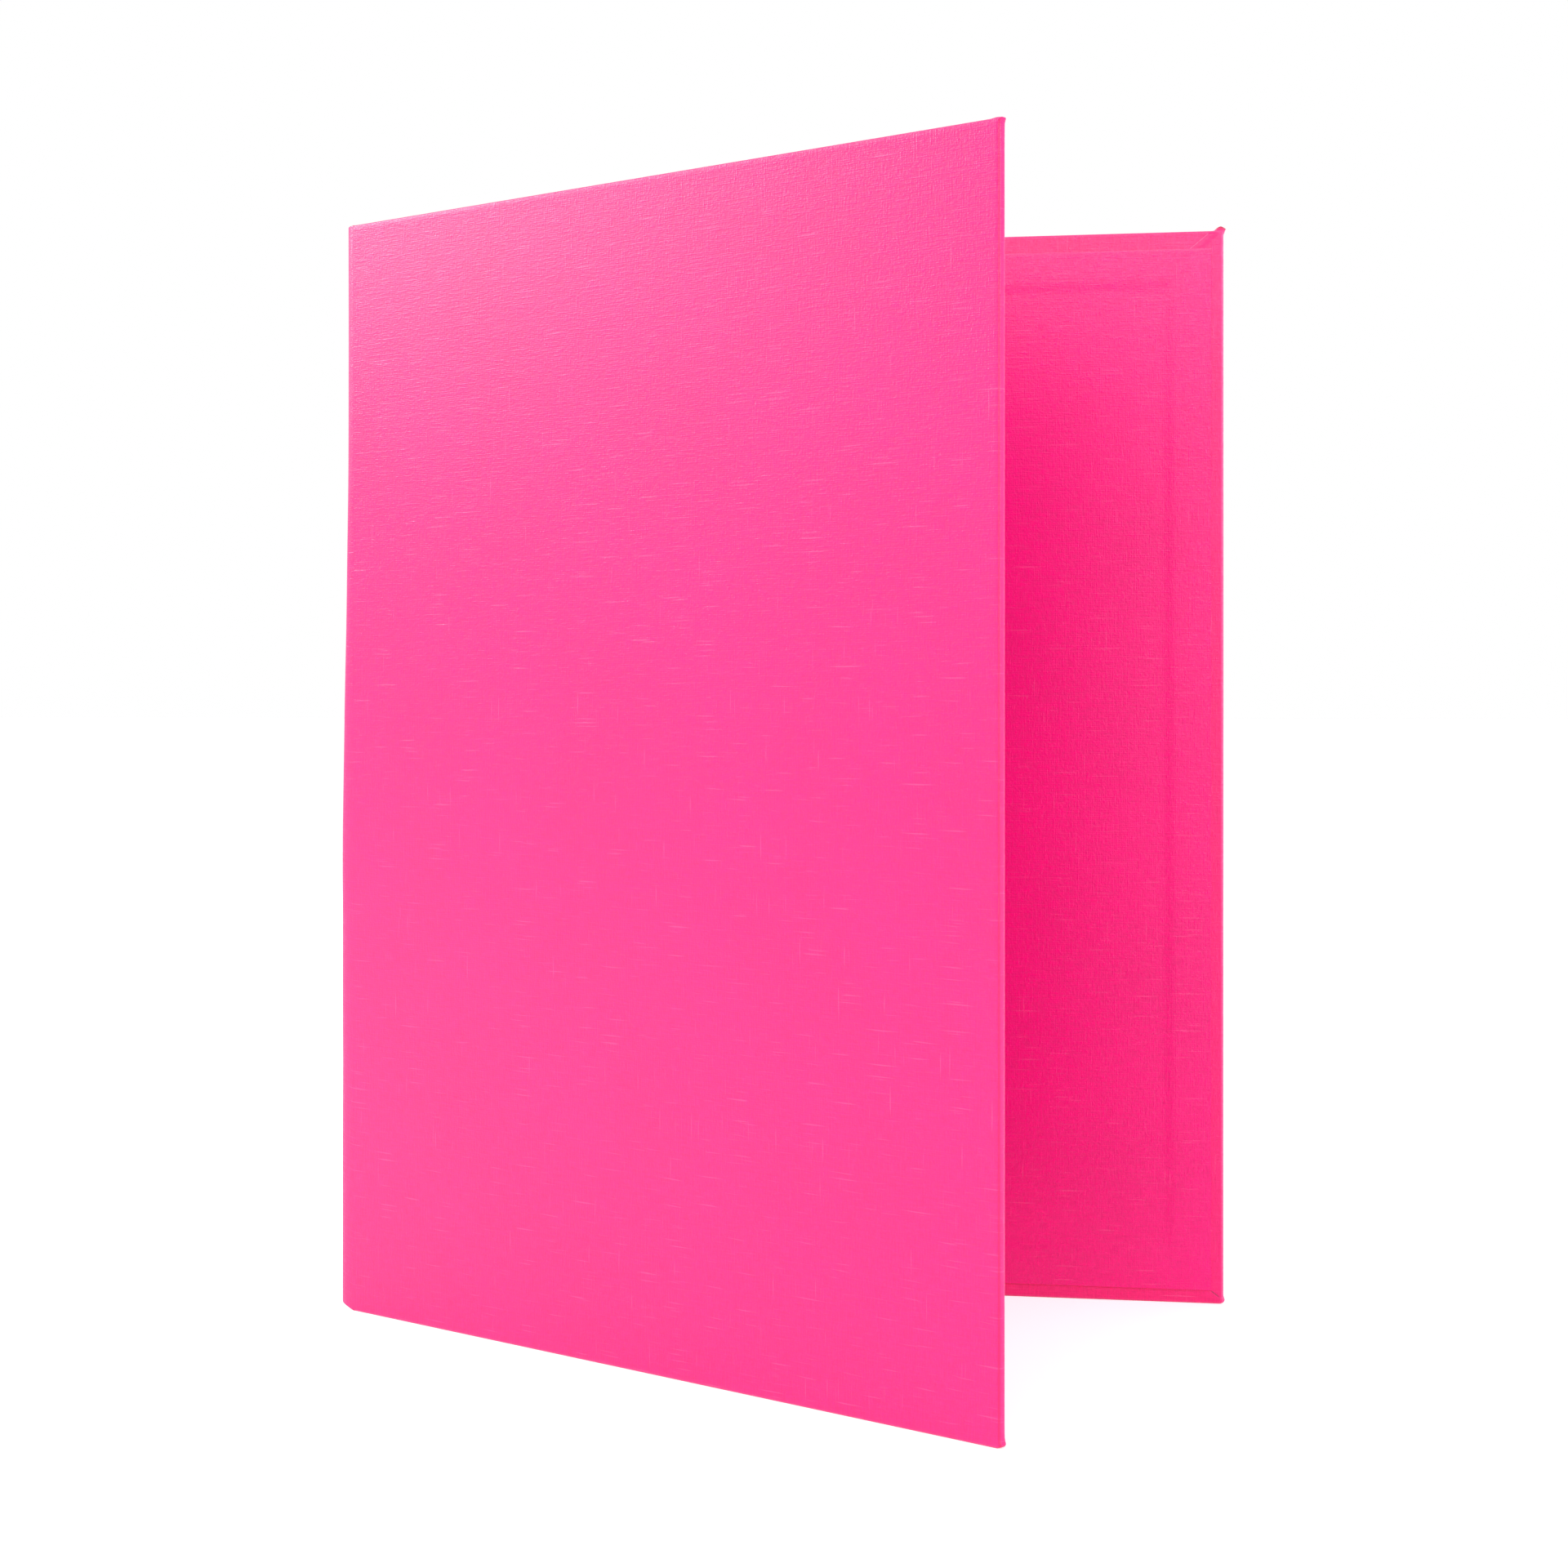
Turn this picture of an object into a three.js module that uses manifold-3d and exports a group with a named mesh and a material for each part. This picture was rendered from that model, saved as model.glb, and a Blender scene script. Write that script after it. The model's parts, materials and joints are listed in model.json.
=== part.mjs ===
// Four-ring binder standing on its foot with its covers part open, in millimetres, +Z up.
// The origin is the middle of the spine's foot. +X points into the binder and Y runs across the spine.
// The back cover stands square to the spine on the +Y side, the front cover is swung out on the -Y side.
import * as THREE from "three";
import { mergeVertices } from "three/addons/utils/BufferGeometryUtils.js";
import Module from "manifold-3d";

const wasm = await Module();
wasm.setup();

// Case: three greyboards in one covering, each with a lining on its inner face.
const caseHeight = 318;
const coverReach = 252;
const hingeSpacing = 61;
const hingeGap = 3.5;
const boardThickness = 1.7;
const wrapThickness = 0.25;
const liningThickness = 0.2;
const glueLine = 0.1;
const turnIn = 15;
const mitreCut = 0.3;
const foldRadius = 0.5;
const liningMarginTop = 4.5;
const liningMarginFore = 3.5;
const liningClearance = 0.3;
const liningStep = 0.4;
const frontOpeningDeg = 33;
const backOpeningDeg = 0;
const stripThickness = 0.45;
const stripGap = 0.2;
const stripInset = 0.6;

// Ring mechanism: an arched cover plate over two blades that carry the ring halves.
const plateEndReach = 20;
const plateSeatGap = 0.05;
const plateHalfWidth = 13;
const plateHeight = 8.5;
const plateThickness = 0.9;
const shoulderRadius = 4.5;
const lipRadius = 1.2;
const bladeThickness = 1;
const bladePivotHeight = 3.4;
const bladeSeatGap = 0.4;
const bladeMeetGap = 0.15;
const bladeEndInset = 9;
const bladeTiltDeg = 6.5;
const bladeSwingDeg = 13;

// Ring halves: round wire, staked through the blades.
const ringPitch = 80;
const ringCount = 4;
const ringRadius = 19.5;
const ringCentreHeight = 25;
const ringJoinDeg = 45;
const ringFootShare = 0.22;
const wireRadius = 2;
const stakeReach = 4.7;
const stakeRadius = 1.2;
const stakeClearance = 0.15;
const stakeHeadRadius = 2;
const stakeHeadThickness = 0.5;
const stakeGap = 0.1;
const ringTipGap = 0.2;
const studRadius = 0.9;
const studLength = 1.2;
const studClearance = 0.2;
const slotClearance = 0.5;
const wireSides = 12;
const wireSteps = 24;

// Tubular rivets through the spine, with a spacer tube round each under the cover plate.
const rivetInset = 45;
const rivetRadius = 2.4;
const rivetWall = 0.5;
const rivetClearance = 0.2;
const rivetHeadRadius = 4.8;
const rivetHeadHeight = 1.4;
const clinchRadius = 3.6;
const clinchThickness = 0.6;
const spacerWall = 0.8;
const notchClearance = 0.9;

// Opening levers at both ends of the cover plate, each on a pin through the plate's side walls.
const leverPivotInset = 4.5;
const leverPivotHeight = 4;
const leverThickness = 1;
const leverHalfWidth = 7.5;
const leverNoseHalfWidth = 1.5;
const leverNoseReach = 7;
const leverNoseDrop = 3;
const leverArmHeight = 15;
const leverArmLean = 11;
const leverBend = 3.4;
const leverBendHeight = 0.8;
const leverCurl = 3.6;
const leverSideClearance = 0.8;
const leverNotchDepth = 5;
const earRadius = 2.1;
const pinRadius = 1;
const pinClearance = 0.2;
const pinHeadRadius = 1.7;
const pinHeadThickness = 0.5;

// Sizes that follow from the ones above.
const caseThickness = 2 * wrapThickness + 2 * glueLine + boardThickness;
const boardInner = wrapThickness + glueLine + boardThickness;
const liningFace = boardInner + glueLine + liningThickness;
const spineHalf = hingeSpacing / 2 - hingeGap;
const foldLine = wrapThickness / 2;
const plateFootX = liningFace + plateSeatGap - caseThickness / 2;
const plateLength = (ringCount - 1) * ringPitch + 2 * plateEndReach;
const plateInnerHeight = plateHeight - plateThickness;
const plateBottomZ = (caseHeight - plateLength) / 2;
const pivotReach = plateHalfWidth - plateThickness - bladeSeatGap - bladeThickness / 2;
const bladeReach = pivotReach - bladeMeetGap;
const bladeLength = plateLength - 2 * bladeEndInset;
const bladeTilt = THREE.MathUtils.degToRad(bladeTiltDeg);
const bladeSwing = THREE.MathUtils.degToRad(bladeSwingDeg);
const shankHole = rivetRadius + rivetClearance;
const spacerRadius = shankHole + spacerWall;
const ringHeights = Array.from(
  { length: ringCount },
  (_, i) => caseHeight / 2 + (i - (ringCount - 1) / 2) * ringPitch,
);
const rivetHeights = [-1, 1].map((side) => caseHeight / 2 + side * (plateLength / 2 - rivetInset));
const leverBendTop = new THREE.Vector2(leverBendHeight, leverBend);
const beyond = 5;

const linen = new THREE.Color(0xfc4b93);
const board = new THREE.Color(0x8f8a80);
const steel = new THREE.Color(0xb9bcc0);
const bright = new THREE.Color(0xd9dcdf);

function solid(geometry) {
  const bare = geometry.index ? geometry.toNonIndexed() : geometry.clone();
  bare.deleteAttribute("normal");
  bare.deleteAttribute("uv");
  const merged = mergeVertices(bare, 1e-4);
  return new wasm.Manifold(
    new wasm.Mesh({
      numProp: 3,
      vertProperties: new Float32Array(merged.attributes.position.array),
      triVerts: new Uint32Array(merged.index.array),
    }),
  );
}

function geometryOf(body) {
  const mesh = body.getMesh();
  const geometry = new THREE.BufferGeometry();
  geometry.setAttribute("position", new THREE.BufferAttribute(new Float32Array(mesh.vertProperties), 3));
  geometry.setIndex(new THREE.BufferAttribute(new Uint32Array(mesh.triVerts), 1));
  const faceted = geometry.toNonIndexed();
  faceted.computeVertexNormals();
  return faceted;
}

function named(name, body, color, roughness, metalness) {
  const material = new THREE.MeshStandardMaterial({ color, roughness, metalness });
  const mesh = new THREE.Mesh(geometryOf(body), material);
  mesh.name = name;
  return mesh;
}

// A box between two corners.
function box(low, high) {
  const size = high.map((value, axis) => value - low[axis]);
  const geometry = new THREE.BoxGeometry(...size);
  geometry.translate(...low.map((value, axis) => value + size[axis] / 2));
  return solid(geometry);
}

// A round bar from one height to another along an axis, with its centre line through a point.
function bar(axis, radius, from, to, centre, sides = 24) {
  const geometry = new THREE.CylinderGeometry(radius, radius, to - from, sides);
  geometry.translate(0, (from + to) / 2, 0);
  if (axis === "x") geometry.rotateZ(-Math.PI / 2);
  if (axis === "z") geometry.rotateX(Math.PI / 2);
  geometry.translate(...centre);
  return solid(geometry);
}

// An outline in X and Y, carried up Z.
function uprightPrism(shape, from, to) {
  const geometry = new THREE.ExtrudeGeometry(shape, { depth: to - from, bevelEnabled: false });
  geometry.translate(0, 0, from);
  return solid(geometry);
}

// An outline in X and Z, carried along Y.
function crossPrism(shape, from, to) {
  const geometry = new THREE.ExtrudeGeometry(shape, { depth: to - from, bevelEnabled: false });
  geometry.rotateX(Math.PI / 2);
  geometry.translate(0, to, 0);
  return solid(geometry);
}

// A ribbon of even thickness along a flat path, mitred where the path turns.
function ribbon(path, thickness, divisions) {
  const middle = path.getPoints(divisions);
  const last = middle.length - 1;
  const offsets = middle.map((point, i) => {
    const arriving = middle[Math.max(i, 1)].clone().sub(middle[Math.max(i, 1) - 1]).normalize();
    const leaving = middle[Math.min(i + 1, last)].clone().sub(middle[Math.min(i, last - 1)]).normalize();
    const along = arriving.clone().add(leaving).normalize();
    const half = thickness / 2 / along.dot(arriving);
    return new THREE.Vector2(-along.y, along.x).multiplyScalar(half);
  });
  const left = middle.map((point, i) => point.clone().add(offsets[i]));
  const right = middle.map((point, i) => point.clone().sub(offsets[i]));
  return new THREE.Shape([...left, ...right.reverse()]);
}

// A rectangle with its four corners rounded.
function roundedOutline(x0, x1, y0, y1, radius) {
  const shape = new THREE.Shape();
  shape.moveTo(x0 + radius, y0);
  shape.lineTo(x1 - radius, y0);
  shape.absarc(x1 - radius, y0 + radius, radius, -Math.PI / 2, 0);
  shape.lineTo(x1, y1 - radius);
  shape.absarc(x1 - radius, y1 - radius, radius, 0, Math.PI / 2);
  shape.lineTo(x0 + radius, y1);
  shape.absarc(x0 + radius, y1 - radius, radius, Math.PI / 2, Math.PI);
  shape.lineTo(x0, y0 + radius);
  shape.absarc(x0 + radius, y0 + radius, radius, Math.PI, 1.5 * Math.PI);
  return shape;
}

// A panel lies with X along its width, Y from its outer face (0) inwards and Z up.
// Its covering folds over the top, the foot and each edge named in the folds.
function coveringSolid(from, to, folds) {
  const low = folds.low ? from : from - beyond;
  const high = folds.high ? to : to + beyond;
  const acrossShape = roundedOutline(low, high, 0, caseThickness, foldRadius);
  const across = uprightPrism(acrossShape, 0, caseHeight);
  const upShape = roundedOutline(-caseHeight, 0, 0, caseThickness, foldRadius);
  const upGeometry = new THREE.ExtrudeGeometry(upShape, { depth: high - low, bevelEnabled: false });
  upGeometry.rotateY(Math.PI / 2);
  upGeometry.translate(low, 0, 0);
  const up = solid(upGeometry);
  const trimmed = box([from, -beyond, -beyond], [to, caseThickness + beyond, caseHeight + beyond]);
  const innerLow = folds.low ? from + wrapThickness : from - beyond;
  const innerHigh = folds.high ? to - wrapThickness : to + beyond;
  const inside = box(
    [innerLow, wrapThickness, wrapThickness],
    [innerHigh, caseThickness - wrapThickness, caseHeight - wrapThickness],
  );
  const window = box(
    [folds.low ? from + turnIn : from - beyond, caseThickness / 2, turnIn],
    [folds.high ? to - turnIn : to + beyond, caseThickness + beyond, caseHeight - turnIn],
  );
  let covering = across.intersect(up).intersect(trimmed).subtract(inside).subtract(window);
  for (const corner of foldCorners(from, to, folds)) covering = covering.subtract(mitre(corner));
  return covering;
}

// The panel corners where two folded edges meet.
function foldCorners(from, to, folds) {
  const corners = [];
  for (const [edge, inwards, folded] of [[from, 1, folds.low], [to, -1, folds.high]]) {
    if (!folded) continue;
    corners.push([edge, 0, inwards, 1], [edge, caseHeight, inwards, -1]);
  }
  return corners;
}

// The slit of a mitred corner, cut through the turn-in from the corner to its inner end.
function mitre([x, z, inwards, upwards]) {
  const length = (turnIn + beyond) * Math.SQRT2;
  const start = foldRadius * Math.SQRT2;
  const floor = caseThickness - wrapThickness - glueLine / 2;
  const slit = new THREE.BoxGeometry(length, beyond, mitreCut);
  slit.translate(start + length / 2, 0, 0);
  slit.rotateY(Math.atan2(-upwards, inwards));
  slit.translate(x, floor + beyond / 2, z);
  return solid(slit);
}

// The greyboard, a glue line inside its covering.
function boardSolid(from, to, folds) {
  const inset = wrapThickness + glueLine;
  return box(
    [folds.low ? from + inset : from, inset, inset],
    [folds.high ? to - inset : to, boardInner, caseHeight - inset],
  );
}

// The lining lies on the turn-ins round its edge and steps down to the board inside them.
function liningSolid(from, to, folds) {
  const low = folds.low ? from + liningMarginFore : from;
  const high = folds.high ? to - liningMarginFore : to;
  const innerLow = folds.low ? from + turnIn + liningClearance : from;
  const innerHigh = folds.high ? to - turnIn - liningClearance : to;
  const bottom = caseThickness + glueLine;
  const top = bottom + liningThickness;
  const sheet = box([low, bottom, liningMarginTop], [high, top, caseHeight - liningMarginTop]);
  const footZ = turnIn + liningClearance;
  const sunk = box([innerLow, boardInner + glueLine, footZ], [innerHigh, top, caseHeight - footZ]);
  const stepLow = folds.low ? innerLow + liningStep : from - beyond;
  const stepHigh = folds.high ? innerHigh - liningStep : to + beyond;
  const stepZ = footZ + liningStep;
  const pocket = box([stepLow, liningFace, stepZ], [stepHigh, top + beyond, caseHeight - stepZ]);
  return sheet.add(sunk).subtract(pocket);
}

// The three layers of one panel as meshes, with any holes cut through all of them.
function panelMeshes(name, from, to, folds, holes) {
  const layers = [
    ["board", boardSolid(from, to, folds), board, 0.9],
    ["wrap", coveringSolid(from, to, folds), linen, 0.8],
    ["lining", liningSolid(from, to, folds), linen, 0.85],
  ];
  return layers.map(([layer, body, color, roughness]) => {
    const cut = holes.reduce((left, hole) => left.subtract(hole), body);
    return named(`${name}_${layer}`, cut, color, roughness, 0);
  });
}

// A cover panel in a group whose Z axis is the hinge line; closed, it points along +X.
function coverPanel(name, side, openingDeg) {
  const hinge = new THREE.Group();
  hinge.position.set(foldLine - caseThickness / 2, (side * hingeSpacing) / 2, 0);
  hinge.rotation.z = side * THREE.MathUtils.degToRad(openingDeg);
  const folds = side < 0 ? { high: true } : { low: true };
  const from = side < 0 ? hingeGap : -coverReach;
  const to = side < 0 ? coverReach : -hingeGap;
  const meshes = panelMeshes(name, from, to, folds, []);
  const panel = new THREE.Group();
  panel.rotation.z = side < 0 ? 0 : Math.PI;
  panel.position.y = side * foldLine;
  panel.add(...meshes);
  hinge.add(panel);
  return hinge;
}

// The spine panel stands across the binder, with its outer face on the -X side.
function spinePanel() {
  const panel = new THREE.Group();
  panel.rotation.z = -Math.PI / 2;
  panel.position.x = -caseThickness / 2;
  const holes = rivetHeights.map((z) => bar("y", shankHole, -beyond, caseThickness + beyond, [0, 0, z]));
  panel.add(...panelMeshes("spine", -spineHalf, spineHalf, {}, holes));
  return panel;
}

// The covering and lining glued together across a hinge gap, bent from the spine to the cover.
function hingeStrip(name, side, openingDeg) {
  const turned = side * THREE.MathUtils.degToRad(openingDeg);
  const axisX = foldLine - caseThickness / 2;
  const axisY = (side * hingeSpacing) / 2;
  const outwards = new THREE.Vector2(-Math.sin(turned) * side, Math.cos(turned) * side);
  const alongCover = new THREE.Vector2(Math.cos(turned), Math.sin(turned));
  const inset = stripThickness / 2 - foldLine;
  const start = new THREE.Vector2(axisX + inset, side * (spineHalf + stripGap));
  const corner = new THREE.Vector2(axisX, axisY).addScaledVector(outwards, -inset);
  corner.x += inset;
  const end = new THREE.Vector2(axisX, axisY)
    .addScaledVector(alongCover, hingeGap - stripGap)
    .addScaledVector(outwards, -inset);
  const path = new THREE.Path();
  path.moveTo(start.x, start.y);
  path.quadraticCurveTo(corner.x, corner.y, end.x, end.y);
  const shape = ribbon(path, stripThickness, 12);
  return named(name, uprightPrism(shape, stripInset, caseHeight - stripInset), linen, 0.85, 0);
}

// The middle line of the cover plate's section, with X as height: lips turned in and up under the
// blades' edges, upright walls, round shoulders and a flat crown.
function plateSection() {
  const wall = plateHalfWidth - plateThickness / 2;
  const crown = plateHeight - plateThickness / 2;
  const lip = lipRadius - plateThickness / 2;
  const shoulder = crown - shoulderRadius;
  const lipTop = bladePivotHeight - bladeThickness / 2 - bladeSeatGap;
  const quarter = Math.PI / 2;
  const path = new THREE.Path();
  path.moveTo(lipTop, wall - 2 * lip);
  path.lineTo(lipRadius, wall - 2 * lip);
  path.absarc(lipRadius, wall - lip, lip, -quarter, -3 * quarter, true);
  path.lineTo(shoulder, wall);
  path.absarc(shoulder, wall - shoulderRadius, shoulderRadius, quarter, 0, true);
  path.lineTo(crown, shoulderRadius - wall);
  path.absarc(shoulder, shoulderRadius - wall, shoulderRadius, 0, -quarter, true);
  path.lineTo(lipRadius, -wall);
  path.absarc(lipRadius, lip - wall, lip, -quarter, -3 * quarter, true);
  path.lineTo(lipTop, 2 * lip - wall);
  return path;
}

// The middle line of a ring half in the plane X (height) and Y, from its stake to its tip.
class RingPath extends THREE.Curve {
  constructor(side) {
    super();
    this.side = side;
    const normal = new THREE.Vector2(Math.cos(bladeTilt), Math.sin(bladeTilt));
    const along = new THREE.Vector2(-Math.sin(bladeTilt), Math.cos(bladeTilt));
    const join = THREE.MathUtils.degToRad(ringJoinDeg);
    const foot = new THREE.Vector2(bladePivotHeight, -pivotReach)
      .addScaledVector(along, stakeReach)
      .addScaledVector(normal, bladeThickness / 2 + stakeGap);
    const meet = new THREE.Vector2(
      ringCentreHeight - ringRadius * Math.cos(join),
      -ringRadius * Math.sin(join),
    );
    const reach = foot.distanceTo(meet) / 3;
    const leaving = foot.clone().addScaledVector(normal, reach);
    const arriving = meet.clone().addScaledVector(new THREE.Vector2(Math.sin(join), -Math.cos(join)), -reach);
    this.foot = foot;
    this.bend = new THREE.CubicBezierCurve(foot, leaving, arriving, meet);
    this.join = join;
    this.last = Math.PI - Math.asin(ringTipGap / 2 / ringRadius);
  }

  getPoint(t, target = new THREE.Vector3()) {
    if (t < ringFootShare) {
      const point = this.bend.getPoint(t / ringFootShare);
      return target.set(point.x, -this.side * point.y, 0);
    }
    const share = (t - ringFootShare) / (1 - ringFootShare);
    const angle = THREE.MathUtils.lerp(this.join, this.last, share);
    const height = ringCentreHeight - ringRadius * Math.cos(angle);
    return target.set(height, this.side * ringRadius * Math.sin(angle), 0);
  }
}

// One ring half: bent wire, a stake through the blade with its head below, and a stud or a cup at the tip.
function ringHalf(side) {
  const path = new RingPath(side);
  const section = new THREE.Shape();
  section.absarc(0, 0, wireRadius, 0, 2 * Math.PI, false);
  const wire = solid(
    new THREE.ExtrudeGeometry(section, {
      steps: wireSteps,
      curveSegments: wireSides / 2,
      bevelEnabled: false,
      extrudePath: path,
    }),
  );
  const through = bladeThickness + 2 * stakeGap;
  const shank = bar("x", stakeRadius, -through - stakeHeadThickness / 2, wireRadius / 2, [0, 0, 0], 16);
  const head = bar("x", stakeHeadRadius, -through - stakeHeadThickness, -through, [0, 0, 0], 16);
  const angle = THREE.MathUtils.radToDeg(side * -bladeTilt);
  const stake = shank.add(head).rotate([0, 0, angle]).translate([path.foot.x, -side * path.foot.y, 0]);
  const tipHeight = ringCentreHeight + ringRadius;
  if (side < 0) {
    const stud = bar("y", studRadius, -wireRadius, ringTipGap / 2 + studLength, [tipHeight, 0, 0], 16);
    return wire.add(stake).add(stud);
  }
  const cupDepth = studLength + studClearance;
  const cup = bar("y", studRadius + studClearance, -beyond, ringTipGap / 2 + cupDepth, [tipHeight, 0, 0], 16);
  return wire.add(stake).subtract(cup);
}

// The slot that the wire needs in the cover plate, shut and swung open: how near the middle it
// starts on the crown, and how low it reaches in the wall.
function slotLimits() {
  const path = new RingPath(1);
  const pivot = new THREE.Vector2(bladePivotHeight, pivotReach);
  let inner = plateHalfWidth - shoulderRadius;
  let floor = plateHeight - shoulderRadius;
  for (let step = 0; step <= 200; step += 1) {
    const middle = path.getPoint(step / 400);
    const along = path.getTangent(step / 400);
    for (const edge of [-1, 1]) {
      const reach = edge * (wireRadius + slotClearance);
      for (const swing of [0, bladeSwing]) {
        const point = new THREE.Vector2(middle.x - along.y * reach, middle.y + along.x * reach);
        point.rotateAround(pivot, swing);
        const atCrown = point.x > plateInnerHeight && point.x < plateHeight;
        const atWall = point.y > plateHalfWidth - plateThickness && point.y < plateHalfWidth;
        if (atCrown) inner = Math.min(inner, point.y);
        if (atWall) floor = Math.min(floor, point.x);
      }
    }
  }
  return [inner, floor];
}

// The cover plate, open at both ends, with slots for the wires, rivet holes, pin holes and lever notches.
function coverPlate() {
  const section = ribbon(plateSection(), plateThickness, 5);
  let plate = uprightPrism(section, plateBottomZ, plateBottomZ + plateLength);
  const [slotInner, slotFloor] = slotLimits();
  const halfSlot = wireRadius + slotClearance;
  for (const z of ringHeights) {
    for (const side of [-1, 1]) {
      const ys = [side * slotInner, side * (plateHalfWidth + beyond)].sort((a, b) => a - b);
      const slot = box([slotFloor, ys[0], z - halfSlot], [plateHeight + beyond, ys[1], z + halfSlot]);
      plate = plate.subtract(slot);
    }
  }
  for (const z of rivetHeights) {
    plate = plate.subtract(bar("x", shankHole, plateInnerHeight / 2, plateHeight + beyond, [0, 0, z]));
  }
  const notchHalf = leverHalfWidth + leverSideClearance;
  for (const end of [-1, 1]) {
    const edge = caseHeight / 2 + (end * plateLength) / 2;
    const zs = [edge - end * leverNotchDepth, edge + end * beyond].sort((a, b) => a - b);
    const low = [plateInnerHeight / 2, -notchHalf, zs[0]];
    plate = plate.subtract(box(low, [plateHeight + beyond, notchHalf, zs[1]]));
    const centre = [leverPivotHeight, 0, leverPivotZ(end)];
    const pinHole = bar("y", pinRadius + pinClearance, -2 * plateHalfWidth, 2 * plateHalfWidth, centre, 16);
    plate = plate.subtract(pinHole);
  }
  return named("cover_plate", plate, bright, 0.25, 1);
}

function leverPivotZ(end) {
  return caseHeight / 2 + end * (plateLength / 2 - leverPivotInset);
}

// A blade lies with Y from its pivot edge to the middle of the plate and X through its thickness.
function bladeSolid() {
  const half = bladeThickness / 2;
  const shape = new THREE.Shape();
  shape.moveTo(-half, bladeReach);
  shape.lineTo(-half, 0);
  shape.absarc(0, 0, half, Math.PI, 2 * Math.PI, false);
  shape.lineTo(half, bladeReach);
  let blade = uprightPrism(shape, (caseHeight - bladeLength) / 2, (caseHeight + bladeLength) / 2);
  for (const z of ringHeights) {
    blade = blade.subtract(bar("x", stakeRadius + stakeClearance, -beyond, beyond, [0, stakeReach, z], 16));
  }
  for (const z of rivetHeights) {
    const notch = spacerRadius + notchClearance;
    blade = blade.subtract(bar("x", notch, -beyond, beyond, [0, pivotReach / Math.cos(bladeTilt), z]));
  }
  return blade;
}

// A blade with its four ring halves, as they lie with the rings shut.
function carrier(name, side) {
  const group = new THREE.Group();
  const blade = named(`${name}_blade`, bladeSolid(), steel, 0.4, 1);
  const tilted = new THREE.Group();
  tilted.position.set(bladePivotHeight, side * pivotReach, 0);
  tilted.rotation.z = side < 0 ? bladeTilt : Math.PI - bladeTilt;
  tilted.add(blade);
  group.add(tilted);
  const half = ringHalf(side);
  ringHeights.forEach((z, i) => {
    const ring = named(`${name}_ring_${i + 1}`, half, bright, 0.15, 1);
    ring.position.z = z;
    group.add(ring);
  });
  return group;
}

// A tubular rivet: domed head on the outside of the spine, hollow shank and clinched rim on the cover plate.
function rivetSolid() {
  const outside = -plateFootX - caseThickness / 2;
  const bore = rivetRadius - rivetWall;
  const profile = new THREE.Path();
  profile.moveTo(0, outside - rivetHeadHeight);
  profile.quadraticCurveTo(rivetHeadRadius * 0.9, outside - rivetHeadHeight, rivetHeadRadius, outside);
  profile.lineTo(rivetRadius, outside);
  profile.lineTo(rivetRadius, plateHeight);
  profile.lineTo(clinchRadius, plateHeight);
  profile.lineTo(clinchRadius - clinchThickness / 2, plateHeight + clinchThickness);
  profile.lineTo(bore, plateHeight + clinchThickness);
  profile.lineTo(bore, outside);
  profile.lineTo(0, outside);
  const points = profile.getPoints(6);
  const distinct = points.filter((point, i) => i === 0 || point.distanceTo(points[i - 1]) > 1e-6);
  const geometry = new THREE.LatheGeometry(distinct, 24);
  geometry.rotateZ(-Math.PI / 2);
  return solid(geometry);
}

function rivet(name, z) {
  const mesh = named(name, rivetSolid(), bright, 0.25, 1);
  mesh.position.z = z;
  return mesh;
}

// The tube round a rivet that holds the cover plate off the spine.
function spacer(name, z) {
  const tube = bar("x", spacerRadius, -plateSeatGap, plateInnerHeight, [0, 0, 0]);
  const bore = bar("x", shankHole, -beyond, plateHeight + beyond, [0, 0, 0]);
  const mesh = named(name, tube.subtract(bore), steel, 0.4, 1);
  mesh.position.z = z;
  return mesh;
}

// A lever bent from sheet: a narrow nose under the blades, ears on the pin and a finger arm.
// X is its height and Z points out past the plate's end, both from the pin.
function leverSolid() {
  const path = new THREE.Path();
  path.moveTo(-leverNoseDrop, -leverNoseReach);
  path.lineTo(-leverNoseDrop, -leverBend / 2);
  path.quadraticCurveTo(-leverNoseDrop, leverBend / 2, leverBendTop.x, leverBendTop.y);
  path.lineTo(leverArmHeight - leverCurl, leverArmLean - leverCurl);
  const curlX = leverArmHeight - 0.2 * leverCurl;
  const curlZ = leverArmLean - 0.6 * leverCurl;
  path.quadraticCurveTo(curlX, curlZ, leverArmHeight, leverArmLean);
  let lever = crossPrism(ribbon(path, leverThickness, 8), -leverHalfWidth, leverHalfWidth);
  for (const side of [-1, 1]) {
    const edges = [side * leverNoseHalfWidth, side * (leverHalfWidth + beyond)].sort((a, b) => a - b);
    lever = lever.subtract(box([-beyond, edges[0], -leverNoseReach - beyond], [0, edges[1], -earRadius]));
    const outer = side * leverHalfWidth;
    const inner = side * (leverHalfWidth - leverThickness);
    const ys = [outer, inner].sort((a, b) => a - b);
    lever = lever.add(crossPrism(earShape(), ys[0], ys[1]));
  }
  const hole = bar("y", pinRadius + pinClearance, -2 * leverHalfWidth, 2 * leverHalfWidth, [0, 0, 0], 16);
  return lever.subtract(hole);
}

// The outline of an ear: round over the pin, closed along the middle of the sheet.
function earShape() {
  const shape = new THREE.Shape();
  shape.moveTo(-leverNoseDrop, -earRadius);
  shape.lineTo(0, -earRadius);
  shape.absarc(0, 0, earRadius, -Math.PI / 2, Math.PI / 3, false);
  shape.lineTo(leverBendTop.x, leverBendTop.y);
  shape.quadraticCurveTo(-leverNoseDrop, leverBend / 2, -leverNoseDrop, -leverBend / 2);
  return shape;
}

function lever(name, end) {
  const mesh = named(name, leverSolid(), steel, 0.3, 1);
  const group = new THREE.Group();
  group.position.set(leverPivotHeight, 0, leverPivotZ(end));
  group.rotation.x = end > 0 ? 0 : Math.PI;
  group.add(mesh);
  return group;
}

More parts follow.
